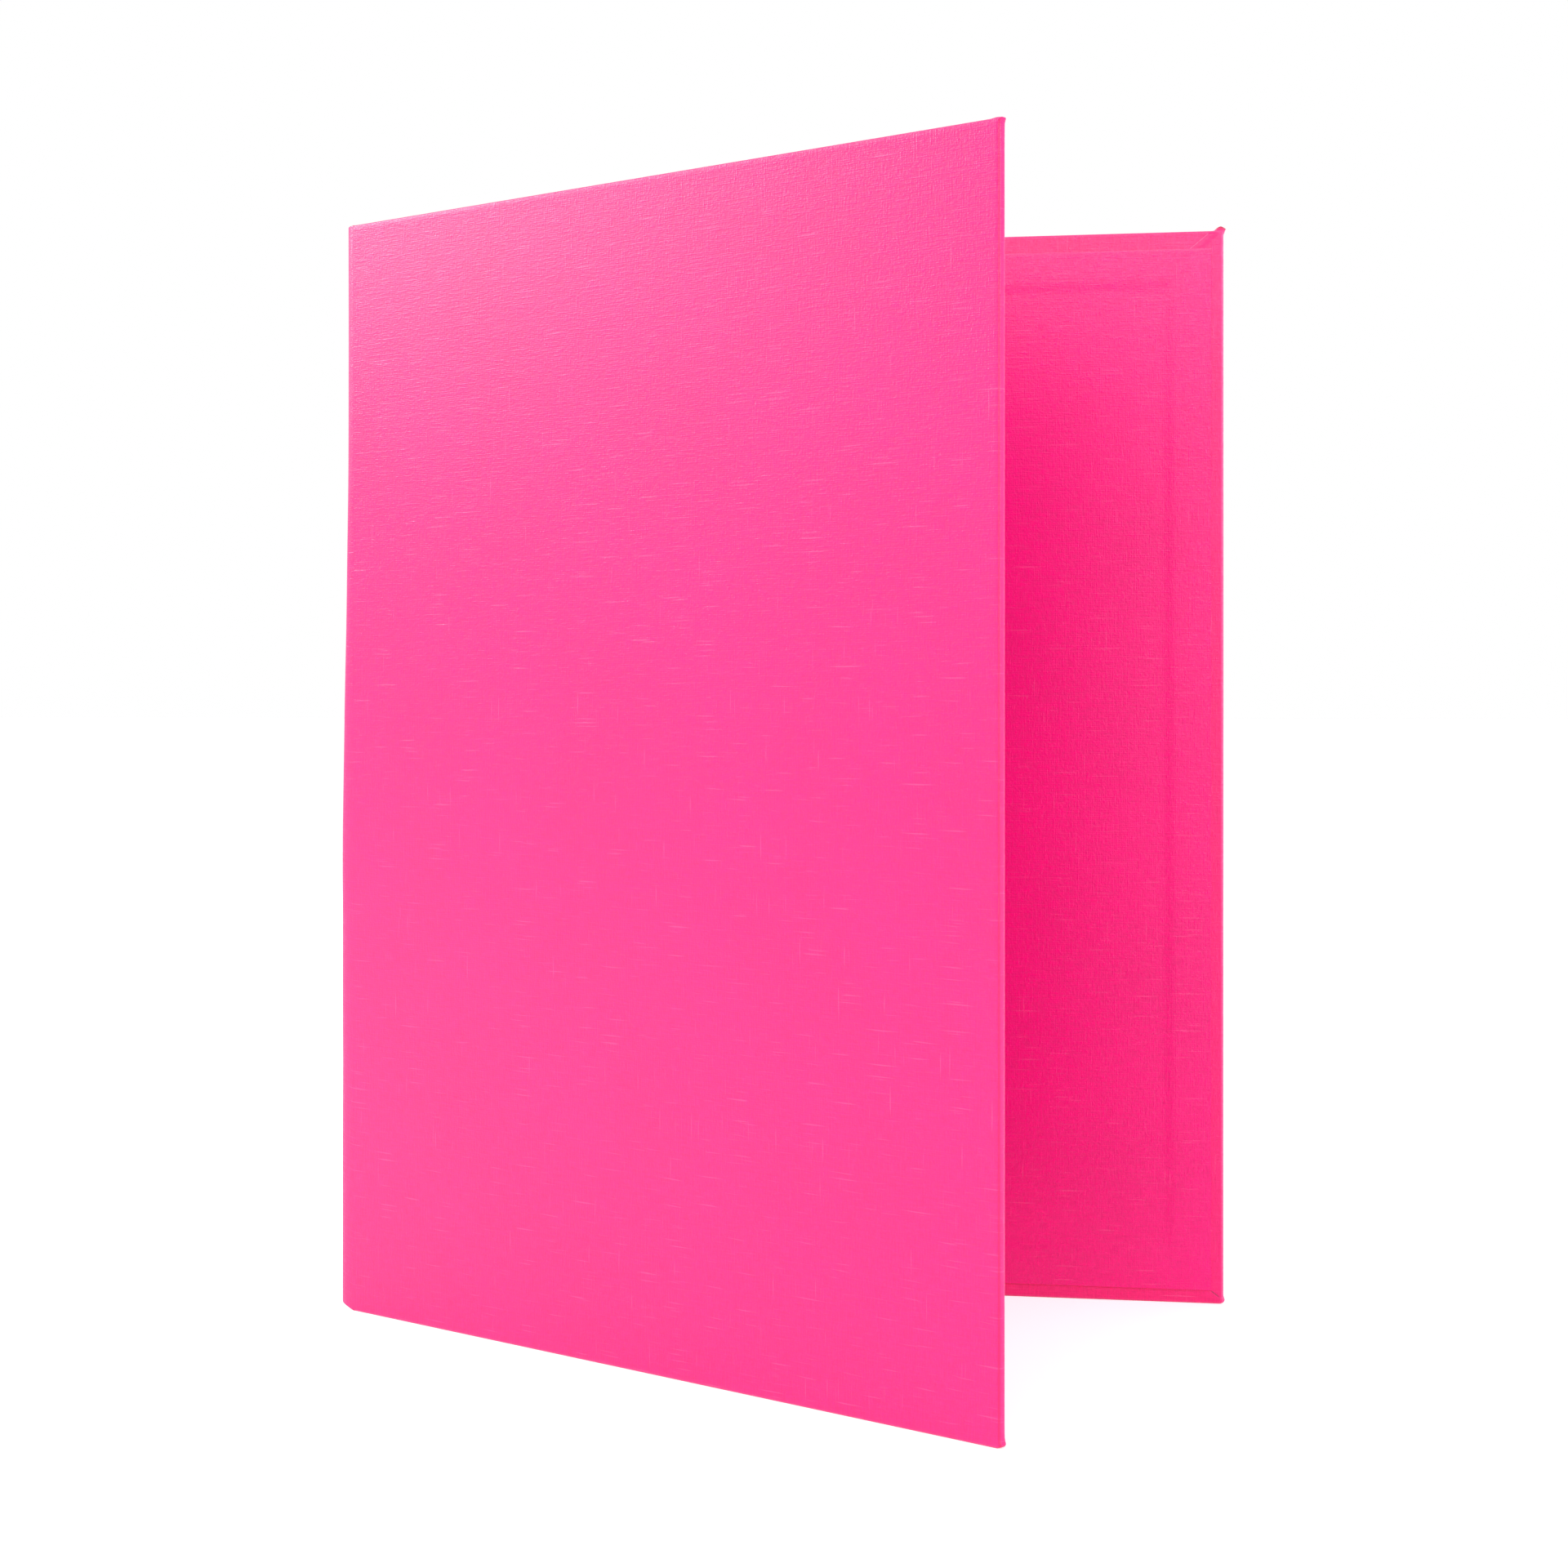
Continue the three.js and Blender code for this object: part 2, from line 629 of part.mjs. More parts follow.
// The pin of a lever, with a head outside each side wall of the cover plate.
function leverPin(name, end) {
  const outer = plateHalfWidth + stakeGap;
  let pin = bar("y", pinRadius, -outer - pinHeadThickness / 2, outer + pinHeadThickness / 2, [0, 0, 0], 16);
  for (const side of [-1, 1]) {
    const ys = [side * outer, side * (outer + pinHeadThickness)].sort((a, b) => a - b);
    pin = pin.add(bar("y", pinHeadRadius, ys[0], ys[1], [0, 0, 0], 16));
  }
  const mesh = named(name, pin, steel, 0.35, 1);
  mesh.position.set(leverPivotHeight, 0, leverPivotZ(end));
  return mesh;
}

const mechanism = new THREE.Group();
mechanism.position.x = plateFootX;
mechanism.add(coverPlate());
mechanism.add(carrier("left", -1));
mechanism.add(carrier("right", 1));
[["lower", -1], ["upper", 1]].forEach(([place, end], i) => {
  mechanism.add(rivet(`${place}_rivet`, rivetHeights[i]));
  mechanism.add(spacer(`${place}_spacer`, rivetHeights[i]));
  mechanism.add(lever(`${place}_lever`, end));
  mechanism.add(leverPin(`${place}_lever_pin`, end));
});

const binder = new THREE.Group();
binder.add(spinePanel());
binder.add(coverPanel("front", -1, frontOpeningDeg));
binder.add(coverPanel("back", 1, backOpeningDeg));
binder.add(hingeStrip("front_hinge_strip", -1, frontOpeningDeg));
binder.add(hingeStrip("back_hinge_strip", 1, backOpeningDeg));
binder.add(mechanism);

export default binder;
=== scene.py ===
"""Linen-covered four-ring binder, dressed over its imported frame."""

import json
import math

import bmesh
import bpy
import numpy as np
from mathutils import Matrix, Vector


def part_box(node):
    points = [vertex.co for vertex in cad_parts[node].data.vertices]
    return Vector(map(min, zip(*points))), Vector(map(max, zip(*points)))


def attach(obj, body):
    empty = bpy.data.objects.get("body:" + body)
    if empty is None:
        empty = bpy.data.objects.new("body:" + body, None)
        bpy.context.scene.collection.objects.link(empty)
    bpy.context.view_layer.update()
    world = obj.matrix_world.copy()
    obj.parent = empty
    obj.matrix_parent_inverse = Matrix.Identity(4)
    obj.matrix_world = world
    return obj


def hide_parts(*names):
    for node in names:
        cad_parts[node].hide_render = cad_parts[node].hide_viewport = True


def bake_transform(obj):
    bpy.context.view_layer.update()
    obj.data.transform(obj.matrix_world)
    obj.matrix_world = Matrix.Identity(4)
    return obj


bl_info = {
    "name": "Linen ring binder",
    "version": (1, 0, 0),
    "blender": (4, 5, 0),
    "location": "View3D > Sidebar > Binder",
    "description": "Covers, linings, hinges and ring mechanism of a four-ring binder",
    "category": "Add Mesh",
}

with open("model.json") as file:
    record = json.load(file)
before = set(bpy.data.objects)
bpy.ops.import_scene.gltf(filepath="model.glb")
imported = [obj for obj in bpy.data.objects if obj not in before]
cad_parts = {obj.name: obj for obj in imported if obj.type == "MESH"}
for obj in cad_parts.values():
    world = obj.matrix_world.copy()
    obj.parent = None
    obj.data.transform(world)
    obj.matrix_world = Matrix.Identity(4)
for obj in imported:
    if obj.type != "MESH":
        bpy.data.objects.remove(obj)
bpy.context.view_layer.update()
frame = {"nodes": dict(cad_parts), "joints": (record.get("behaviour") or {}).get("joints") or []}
JOINTS = {joint["name"]: joint for joint in frame["joints"]}
MM = 0.001
PHOTO_SIZE = 1920
CLOTH_UV = "cloth"
# The first field is paler rubbing on the folds and the lining's head where above zero, with a
# painted highlight on the fore-edge's far fold, and painted shade where below zero; the second is
# the distance to a lapping edge.
LINEN_FIELDS = ("wear_and_painted_light", "seam")

# Points closer than this are welded, and edges sharper than these angles are shaded sharp.
WELD = 0.002 * MM
HINGE_SHARP = math.radians(62.0)
WIRE_SHARP = math.radians(40.0)
METAL_SHARP = math.radians(32.0)

# A hinge's axis lies this deep in the outer face; the second is a margin at each board, whose hinge
# ends are worked out but not used.
AXIS_DEPTH = 0.125 * MM
STIFF_EDGE = 0.7 * MM

# The seam attribute is the distance to a seam in seam widths; at this many there is none.
SEAM_WIDTH = 1.6 * MM
NO_SEAM = 9.0

# How far a folded strip reaches in over the outer face; how a lapping edge's reach changes with the
# inset at head and foot, its least, and the share of the reach up to which the cloth is lifted.
OUTER_FLAT = 2.5 * MM
HEAD_FLAP_SLANT = 0.25
FOOT_FLAP_SLANT = -0.26
LEAST_FLAP = 0.3 * MM
LIFTED_SHARE = 0.995

# Columns: distances in from an edge, shares of a lap's reach, and distances beyond the lap.
NEAR_EDGE = np.array([0.0, 0.15, 0.35, 0.7, 1.1, 1.5, 1.9, 2.4, 3.0, 3.8, 5.0, 7.0, 10.0]) * MM
FLAP_SHARES = np.array([0.0, 0.04, 0.1, 0.2, 0.32, 0.45, 0.6, 0.75, 0.88, 0.96, 0.99, 1.0])
BEYOND_FLAP = np.array([0.08, 0.25, 0.6, 1.2, 2.0, 3.2, 5.0, 8.0]) * MM


# Sizes and colours that a user would change.


def length(name, description, millimetres):
    """A length property in metres with its default written in millimetres."""
    default = millimetres * MM
    return bpy.props.FloatProperty(
        name=name, description=description, default=default, min=0.0, unit="LENGTH", precision=5
    )


def colour(name, description, rgb):
    """A linear colour property."""
    return bpy.props.FloatVectorProperty(
        name=name, description=description, default=rgb, size=3, min=0.0, max=1.0, subtype="COLOR"
    )


class BinderCaseSizes(bpy.types.PropertyGroup):
    """Sizes of the covering, the linings and the hinges."""

    turn_in: length("Turn-in", "Width of the covering folded over onto the inner face", 15.0)
    fold_radius: length("Fold radius", "Radius of the covering's fold over a board's edge", 0.62)
    covering_thickness: length("Covering thickness", "Thickness of the linen covering", 0.22)
    lining_thickness: length("Lining thickness", "Thickness of the lining", 0.28)
    lining_margin_head: length("Head margin", "Covering left showing above a lining", 5.2)
    lining_margin_foot: length("Foot margin", "Covering left showing below a lining", 3.8)
    lining_margin_fore: length("Fore-edge margin", "Covering left showing at the fore-edge", 3.5)
    lining_lift: length("Lining lift", "Height of the lining over the covering's inner face", 0.3)
    lining_drop: length("Lining drop", "How far the lining steps down inside the turn-ins", 0.16)
    flap_rise: length("Flap rise", "Height of a turn-in over the one that it laps", 0.17)
    head_flap: length("Head flap", "How far the fore-edge's turn-in laps over the head's", 3.3)
    foot_flap: length("Foot flap", "How far the foot's turn-in laps over the fore-edge's", 1.2)
    back_pleat: length("Back pleat", "Height of the pleat at the back cover's head", 1.5)
    front_pleat: length("Front pleat", "Height of the pleat at the front cover's head", 0.2)
    corner_point: length("Corner point", "How far a corner stands out at the fore-edge", 0.38)
    strip_thickness: length("Strip thickness", "Covering and lining glued together in a hinge", 0.5)
    hinge_slack: bpy.props.FloatProperty(
        name="Hinge slack",
        description="How slack the front hinge's cloth is near the foot",
        default=1.2,
        min=0.0,
    )
    hinge_head_dip: length("Hinge dip", "How far a hinge's head dips between the boards", 0.05)
    hinge_foot_rise: length("Hinge rise", "How far the slack hinge's foot rises between them", 1.9)
    thread_pitch: length("Thread pitch", "Distance between two embossed threads", 0.55)


class BinderRingSizes(bpy.types.PropertyGroup):
    """Sizes of the ring halves."""

    wire_radius: length("Wire radius", "Radius of the ring wire", 2.0)
    ring_radius: length("Ring radius", "Radius of a ring's middle line", 19.5)
    centre_rise: length("Ring centre", "Height of a ring's centre over the blades' pivots", 21.6)
    stake_reach: length("Stake reach", "Distance of the stakes from a blade's pivot edge", 4.7)
    stake_radius: length("Stake radius", "Radius of the stake that passes through a blade", 1.2)
    blade_thickness: length("Blade thickness", "Thickness of a blade", 1.0)
    stud_length: length("Stud length", "How far a ring's stud stands out of its tip", 1.2)
    tip_chamfer: length("Tip chamfer", "Chamfer round a ring half's tip", 0.35)


class BinderColours(bpy.types.PropertyGroup):
    """Colours of the materials, linear."""

    linen: colour("Covering", "Pink of the covering", (0.96, 0.005, 0.21))
    lining: colour("Lining", "Pink of the linings", (0.96, 0.003, 0.235))
    # Pale pink of rubbed folds and corners, also used for painted highlights on slubs, the
    # fore-edge's far fold and the head's lapping edge.
    worn_and_highlight: colour("Worn edge", "Pink of rubbed folds and corners", (0.97, 0.13, 0.36))
    greyboard: colour("Greyboard", "Grey of the boards", (0.27, 0.25, 0.21))
    nickel: colour("Nickel", "Plating of the cover plate, rings and rivets", (0.55, 0.545, 0.53))
    steel: colour("Steel", "Zinc-plated steel of the blades, levers and pins", (0.44, 0.44, 0.45))
    floor: colour("Floor", "Plain pale floor", (0.92, 0.92, 0.92))


# Panels: where a cover or the spine stands in the row frame.


class PanelPlace:
    """A stiff panel: s runs across it from its hinge line, n inwards from its outer face, z up.

    Its span is the lowest and highest s, and faces_out says whether a grid over s and z faces
    outwards as it is counted.
    """

    def __init__(self, body, node, hinge, along, inward, span):
        self.body = body
        self.folded = body != "spine"
        self.along = np.array([*along, 0.0])
        self.inward = np.array([*inward, 0.0])
        self.origin = np.array([hinge[0], hinge[1], 0.0])
        self.start, self.end = span
        self.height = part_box(node)[1][2]
        self.faces_out = np.dot(np.cross(self.along, [0, 0, 1]), -self.inward) > 0

    def place(self, s, n, z):
        """Row frame points: the origin, plus s along the panel, n inwards and z up."""
        s, n, z = np.broadcast_arrays(s, n, z)
        flat = self.origin + s[..., None] * self.along + n[..., None] * self.inward
        return flat + z[..., None] * np.array([0.0, 0.0, 1.0])


def panel_places():
    """The three panels, read from the frame's hinges and boxes."""
    front, back = JOINTS["front_cover_hinge"], JOINTS["back_cover_hinge"]
    opening = -math.radians(front["range_deg"][0])
    along = (math.cos(opening), -math.sin(opening))
    inward = (math.sin(opening), math.cos(opening))
    front_hinge = np.array(front["pos_m"][:2]) - AXIS_DEPTH * np.array(inward)
    back_hinge = np.array(back["pos_m"][:2]) + np.array([0.0, AXIS_DEPTH])
    low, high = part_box("spine_wrap")
    back_low, back_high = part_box("back_wrap")
    cover_span = (back_low[0] - back["pos_m"][0], back_high[0] - back["pos_m"][0])
    spine_span = (low[1], high[1])
    places = {
        "front": PanelPlace("front_cover", "front_wrap", front_hinge, along, inward, cover_span),
        "back": PanelPlace("back_cover", "back_wrap", back_hinge, (1, 0), (0, -1), cover_span),
        "spine": PanelPlace("spine", "spine_wrap", (low[0], 0.0), (0, 1), (1, 0), spine_span),
    }
    for place in places.values():
        place.thickness = back_high[1] - back_low[1]
    return places


# Mesh building.


def grid_faces(rows, columns, first, flip):
    """Quads between neighbouring points of a grid, counted from its first vertex."""
    index = first + np.arange(rows * columns).reshape(rows, columns)
    corners = [index[:-1, :-1], index[1:, :-1], index[1:, 1:], index[:-1, 1:]]
    if flip:
        corners = corners[::-1]
    return np.stack([corner.ravel() for corner in corners], axis=1)


def mesh_of_grids(name, grids, attributes=()):
    """One mesh of several grids, welded where points meet, with a triangle at each shut corner.

    A grid is its points, rows by columns by 3, its uv, rows by columns by 2, whether its faces
    turn over, and for each named attribute one value or a value at each point.
    """
    points, uvs, faces, values = [], [], [], []
    first = 0
    for grid, uv, flip, *fields in grids:
        rows, columns = grid.shape[:2]
        points.append(grid.reshape(-1, 3))
        uvs.append(uv.reshape(-1, 2))
        faces.append(grid_faces(rows, columns, first, flip))
        values.append([np.broadcast_to(field, (rows, columns)).ravel() for field in fields])
        first += rows * columns
    points = np.concatenate(points)
    faces = np.concatenate(faces)
    loop_uv = np.concatenate(uvs)[faces.ravel()]
    _, kept, joined = np.unique(
        np.round(points / WELD), axis=0, return_index=True, return_inverse=True
    )
    faces = joined.reshape(-1)[faces]
    used = faces != np.roll(faces, -1, axis=1)
    used[used.sum(axis=1) < 3] = False
    corners = used.sum(axis=1)
    loops, loop_uv = faces[used], loop_uv[used.ravel()]
    starts = (np.cumsum(corners) - corners)[corners > 0]
    mesh = bpy.data.meshes.new(name)
    mesh.vertices.add(len(kept))
    mesh.vertices.foreach_set("co", points[kept].astype(np.float32).ravel())
    mesh.loops.add(len(loops))
    mesh.loops.foreach_set("vertex_index", loops.astype(np.int32))
    mesh.polygons.add(len(starts))
    mesh.polygons.foreach_set("loop_start", starts.astype(np.int32))
    mesh.update(calc_edges=True)
    layer = mesh.uv_layers.new(name=CLOTH_UV)
    layer.data.foreach_set("uv", loop_uv.astype(np.float32).ravel())
    for number, attribute in enumerate(attributes):
        data = np.concatenate([value[number] for value in values])[kept]
        field = mesh.attributes.new(attribute, "FLOAT", "POINT")
        field.data.foreach_set("value", data.astype(np.float32))
    mesh.polygons.foreach_set("use_smooth", np.ones(len(starts), bool))
    edges = np.zeros(len(mesh.loops), np.int32)
    mesh.loops.foreach_get("edge_index", edges)
    open_edge = np.bincount(edges, minlength=len(mesh.edges)) == 1
    mesh.edges.foreach_set("use_edge_sharp", open_edge)
    mesh.validate()
    return mesh


def add_piece(name, mesh, slot, node, body=None):
    """A new piece at the origin in its slot's material, in place of a node, riding on a body."""
    piece = bpy.data.objects.new(name, mesh)
    bpy.context.scene.collection.objects.link(piece)
    mesh.materials.clear()
    mesh.materials.append(material(slot))
    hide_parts(node)
    if body:
        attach(piece, body)
    return piece


def solidify(piece, thickness):
    """Gives a sheet its thickness, grown back from its shown face."""
    wall = piece.modifiers.new("sheet", "SOLIDIFY")
    wall.thickness = thickness
    wall.offset = -1.0
    wall.use_even_offset = True
    wall.use_rim = True


def end_steps(span, spacing=9 * MM):
    """Steps from 0 to 1 along an edge, evenly spaced but for closer ones near its ends."""
    low, high = NEAR_EDGE, span - NEAR_EDGE[::-1]
    between = max(int((high[0] - low[-1]) / spacing), 2)
    middle = np.linspace(low[-1], high[0], between + 1)[1:-1]
    return np.concatenate([low, middle, high]) / span


def smooth(low, high, value):
    """0 below low, 1 above high, and a smooth climb between them."""
    t = np.clip((value - low) / (high - low), 0.0, 1.0)
    return t * t * (3 - 2 * t)


def bell(distance, width):
    """A bell curve: 1 at no distance, falling as e to minus the square of distance over width."""
    return np.exp(-((distance / width) ** 2))


# Covering.


def fold_profile(thickness, radius, turn_in):
    """The covering's way over a board's edge: inset from the edge, depth, and length run.

    It runs flat on the outer face, a quarter circle over the edge, down the edge, a quarter circle
    back, and flat on the inner face to the turn-in's own edge. Depth counts from the outer face.
    """
    quarter = np.linspace(0.0, math.pi / 2, 7)
    climb = radius - radius * np.cos(quarter)
    outer = np.array([[OUTER_FLAT, 0.0], [(OUTER_FLAT + radius) / 2, 0.0]])
    over = np.stack([radius - radius * np.sin(quarter), climb], 1)
    back = np.stack([climb, thickness - radius + radius * np.sin(quarter)], 1)
    insets = np.array([0.8, 1.0, 1.25, 1.6, 2.1, 2.7, 3.4, 4.2, 5.2, 7.0, 9.5, 12.0, 14.0]) * MM
    inner = np.stack([insets, np.full(len(insets), thickness)], 1)
    last = np.array([[turn_in, thickness]])
    points = np.concatenate([outer, over, back, inner, last])
    steps = np.linalg.norm(np.diff(points, axis=0), axis=1)
    return points[:, 0], points[:, 1], np.concatenate([[0.0], np.cumsum(steps)])


def gathered(place, s, n, z, sizes):
    """Moves points near a folded corner into its pleat and its point.

    Each move is a product of bell curves along the two edges, so it fades within a few millimetres:
    the head's pleat stands up and leans out on the outer half of the thickness, both corners stand
    out in a point, the foot's lifts a little, and the folded cloth's bulk thickens the inner side.
    """
    if not place.folded:
        return s, n, z
    pleat = sizes.back_pleat if place.body == "back_cover" else sizes.front_pleat
    foot_lift, foot_width = 0.4 * MM, 0.6 * MM
    bulge, bulge_width = 0.1 * MM, 4 * MM
    fore = place.end - s
    head = place.height - z
    near_head = bell(head, 0.8 * MM)
    near_fore = bell(fore, 0.7 * MM)
    behind = 1 - smooth(0.5 * place.thickness, 0.85 * place.thickness, n)
    peak = smooth(3.6 * MM, 1.0 * MM, fore) * (1 - 0.5 * smooth(1.0 * MM, 0.0, fore))
    up = pleat * peak * near_head * behind
    up = up + foot_lift * bell(fore, foot_width) * bell(z, foot_width)
    lean = 0.2 * pleat * bell(fore, 1.5 * MM) * near_head * behind
    out = sizes.corner_point * near_fore * near_head
    tail = sizes.corner_point * near_fore * bell(z - 1.0 * MM, 0.8 * MM)
    bulk = bell(fore, bulge_width) * (bell(head, bulge_width) + bell(z, bulge_width))
    inner = smooth(0.6 * place.thickness, place.thickness, n)
    return s + lean + out + tail, n + bulge * bulk * inner, z + up


def flap_reach(inset, top, sizes):
    """How far past the mitre one turn-in laps over the other at a corner, at each inset.

    At the head the fore-edge's laps over the head's, at the foot the foot's over the fore-edge's.
    The lapping edge is a straight line, so the reach changes in step with the inset.
    """
    if top:
        return sizes.head_flap + HEAD_FLAP_SLANT * inset
    return np.maximum(sizes.foot_flap + FOOT_FLAP_SLANT * inset, LEAST_FLAP)


def past_mitre(reach):
    """Distances from a mitre, a row for each inset, close together beside the lapping edge."""
    return np.concatenate([reach[:, None] * FLAP_SHARES, reach[:, None] + BEYOND_FLAP], axis=1)


def filled(first, last, parts):
    """Two sets of columns with evenly spaced ones between them."""
    between = np.linspace(0.0, 1.0, parts + 1)[1:-1]
    gap = last[:, :1] - first[:, -1:]
    return np.concatenate([first, first[:, -1:] + between * gap, last], axis=1)


def turned_columns(place, inset, sizes):
    """The s of each column of a head or foot strip, a row for each inset.

    On a cover the columns are close beside the hinge and on both sides of the head's lapping edge.
    """
    if not place.folded:
        span = place.end - place.start
        return place.start + end_steps(span)[None, :] * span + 0 * inset[:, None]
    from_hinge = place.start + NEAR_EDGE[None, :] + 0 * inset[:, None]
    reach = flap_reach(inset, True, sizes)
    from_edge = place.end - inset[:, None] - past_mitre(reach)[:, ::-1]
    return filled(from_hinge, from_edge, parts=25)


def fore_edge_heights(place, inset, sizes):
    """The z of each column of the fore-edge's strip, a row for each inset.

    The columns are close on both sides of the foot's lapping edge and near the head's mitre.
    """
    from_foot = inset[:, None] + past_mitre(flap_reach(inset, False, sizes))
    from_head = place.height - inset[:, None] - NEAR_EDGE[None, ::-1]
    return filled(from_foot, from_head, parts=34)


def seam_beside(distance, inner):
    """The distance from a lapping edge in seam widths on the inner face, and no seam elsewhere."""
    return NO_SEAM + (np.abs(distance) / SEAM_WIDTH - NO_SEAM) * inner


def covering_grids(place, sizes):
    """The covering of a panel: its outer face and a folded strip for each turned edge.

    Each strip is the fold profile carried along its edge, ending in a mitre where two edges meet.
    At the head the fore-edge's turn-in climbs over the head's past the mitre and ends in a step,
    and at the foot the foot's does so over the fore-edge's.
    """
    inset, depth, run = fold_profile(place.thickness, sizes.fold_radius, sizes.turn_in)
    flat = inset[0]
    height = place.height
    rows, deep = inset[:, None], depth[:, None]
    inner = smooth(0.5 * MM, 1.0 * MM, rows) * (deep > place.thickness - 0.001 * MM)
    # Darkening of the raised pleat and of the fold's lowest 0.3 mm: painted shade on the pleat's
    # underside and under the fold at the foot.
    pleat_shade, foot_shade = 2.0, 1.5
    grids = []

    def strip(s, n, z, uv, flip, outer_fold, inner_fold, seam=NO_SEAM):
        """Adds a strip: its fold marks are a bell at each fold, less the pleat's and the foot's
        painted shade.
        """
        near_outer = bell(np.hypot(rows, deep) - 0.25 * MM, 0.25 * MM)
        near_inner = bell(np.hypot(rows, place.thickness - deep) - 0.25 * MM, 0.3 * MM)
        wear_and_painted_light = outer_fold * near_outer + inner_fold * near_inner + 0 * s
        painted_foot_shade = foot_shade * smooth(0.3 * MM, 0.05 * MM, z)
        s, n, raised = gathered(place, s, n, z, sizes)
        wear_and_painted_light = wear_and_painted_light - pleat_shade * smooth(0.1 * MM, 0.9 * MM, raised - z) - painted_foot_shade
        grids.append((place.place(s, n, raised), uv, flip, wear_and_painted_light, seam))

    s = turned_columns(place, inset, sizes)
    lapped = place.end - rows - s
    for top in (True, False):
        z = (height - rows if top else rows) + 0 * s
        cloth = (height - flat + run if top else flat - run)[:, None]
        uv = np.stack([s, cloth + 0 * s], -1)
        lift, seam = 0.0, NO_SEAM
        if place.folded and top:
            reach = flap_reach(rows, True, sizes)
            climb = smooth(0.0, 0.6, lapped / reach) * (lapped < LIFTED_SHARE * reach)
            lift = sizes.flap_rise * climb * inner
            seam = seam_beside(lapped - reach, inner)
        elif place.folded:
            lift = sizes.flap_rise * smooth(6.0 * MM, 0.5 * MM, lapped) * inner
        strip(s, deep + 0 * s + lift, z, uv, place.faces_out == top, 0.9, 1.1, seam)
    face = flat + end_steps(height - 2 * flat) * (height - 2 * flat)
    if place.folded:
        z = fore_edge_heights(place, inset, sizes)
        face = z[0]
        reach = flap_reach(rows, False, sizes)
        lift = sizes.flap_rise * (z - rows < LIFTED_SHARE * reach) * inner
        seam = seam_beside(z - rows - reach, inner)
        uv = np.stack([place.end - flat + run[:, None] + 0 * z, z], -1)
        over = place.end - rows + 0 * z
        # On the fore-edge the near fold is darker, a painted shade in the crease, and the far fold
        # paler, rubbed and with a painted highlight.
        strip(over, deep + lift, z, uv, not place.faces_out, -0.7, 1.4, seam)
    s, z = np.meshgrid(s[0], face, indexing="ij")
    uv = np.stack([s, z], -1)
    grids.append((place.place(s, 0 * s, z), uv, not place.faces_out, 0.0, NO_SEAM))
    return grids


# Linings.


def lining_grid(place, sizes):
    """A lining: a flat sheet that steps down inside the turn-ins, rubbed at its head and given
    painted shade at its foot.

    Its depth is the covering's inner face plus a lift, less a smooth step beyond the turn-in. Its
    fore-edge is cut a little unevenly, as a sine of the height.
    """
    low_z, high_z = sizes.lining_margin_foot, place.height - sizes.lining_margin_head
    high_s = place.end - sizes.lining_margin_fore * place.folded
    near = [0, 0.12, 0.26, 1, 2, 3.5, 5, 7, 8.5]
    near = np.array([*near, 9.3, 10.1, 10.9, 11.7, 12.5, 13.3, 14.1, 15, 17, 21]) * MM
    even = 28 * MM
    middle = np.linspace(low_z + even, high_z - even, 40)
    z = np.concatenate([low_z + near, middle, high_z - near[::-1]])
    if place.folded:
        s = np.linspace(place.start, high_s - even, 36)
        s = np.concatenate([s, high_s - near[::-1]])
    else:
        s = np.linspace(place.start, high_s, 24)
    s, z = np.meshgrid(s, z, indexing="ij")
    fore = place.end - s if place.folded else np.full_like(s, 1.0)
    edge = np.minimum(fore, np.minimum(z, place.height - z))
    raised = 1 - smooth(sizes.turn_in - 1.0 * MM, sizes.turn_in + 2.8 * MM, edge)
    n = place.thickness + sizes.lining_lift - sizes.lining_drop * (1 - raised)
    uneven = 0.12 * MM * np.sin(z * 210.0 + 0.6) * (s >= high_s - 1e-9) * place.folded
    points = place.place(s + uneven, n, z)
    rubbed_head = smooth(0.4 * MM, 0.1 * MM, high_z - z)
    # A dark line along the foot: painted shadow under the lining's lower edge.
    shaded_foot = smooth(0.25 * MM, 0.1 * MM, z - low_z)
    uv = np.stack([s + 0.4, z + 0.2], -1)
    return points, uv, place.faces_out, rubbed_head - shaded_foot, NO_SEAM


def lining_depth(cover, sizes):
    """Depth of a lining's face inside the turn-ins from the covering's outer face."""
    return cover.thickness + sizes.lining_lift - sizes.lining_drop


# Hinge strips.


def bezier(start, leave, arrive, end, t):
    """Cubic curve from start to end with its two handles, single or a row of points, at each t."""
    t = t.reshape(-1, *[1] * np.ndim(leave))
    u = 1 - t
    return u**3 * start + 3 * u * u * t * leave + 3 * u * t * t * arrive + t**3 * end


def hinge_ends(spine, cover, side, margin=0.0):
    """Where a hinge leaves the spine and meets its cover, drawn into the hinge by a margin."""
    edge = spine.end if side > 0 else spine.start
    return spine.place(edge + side * margin, 0.0, 0.0), cover.place(cover.start - margin, 0.0, 0.0)


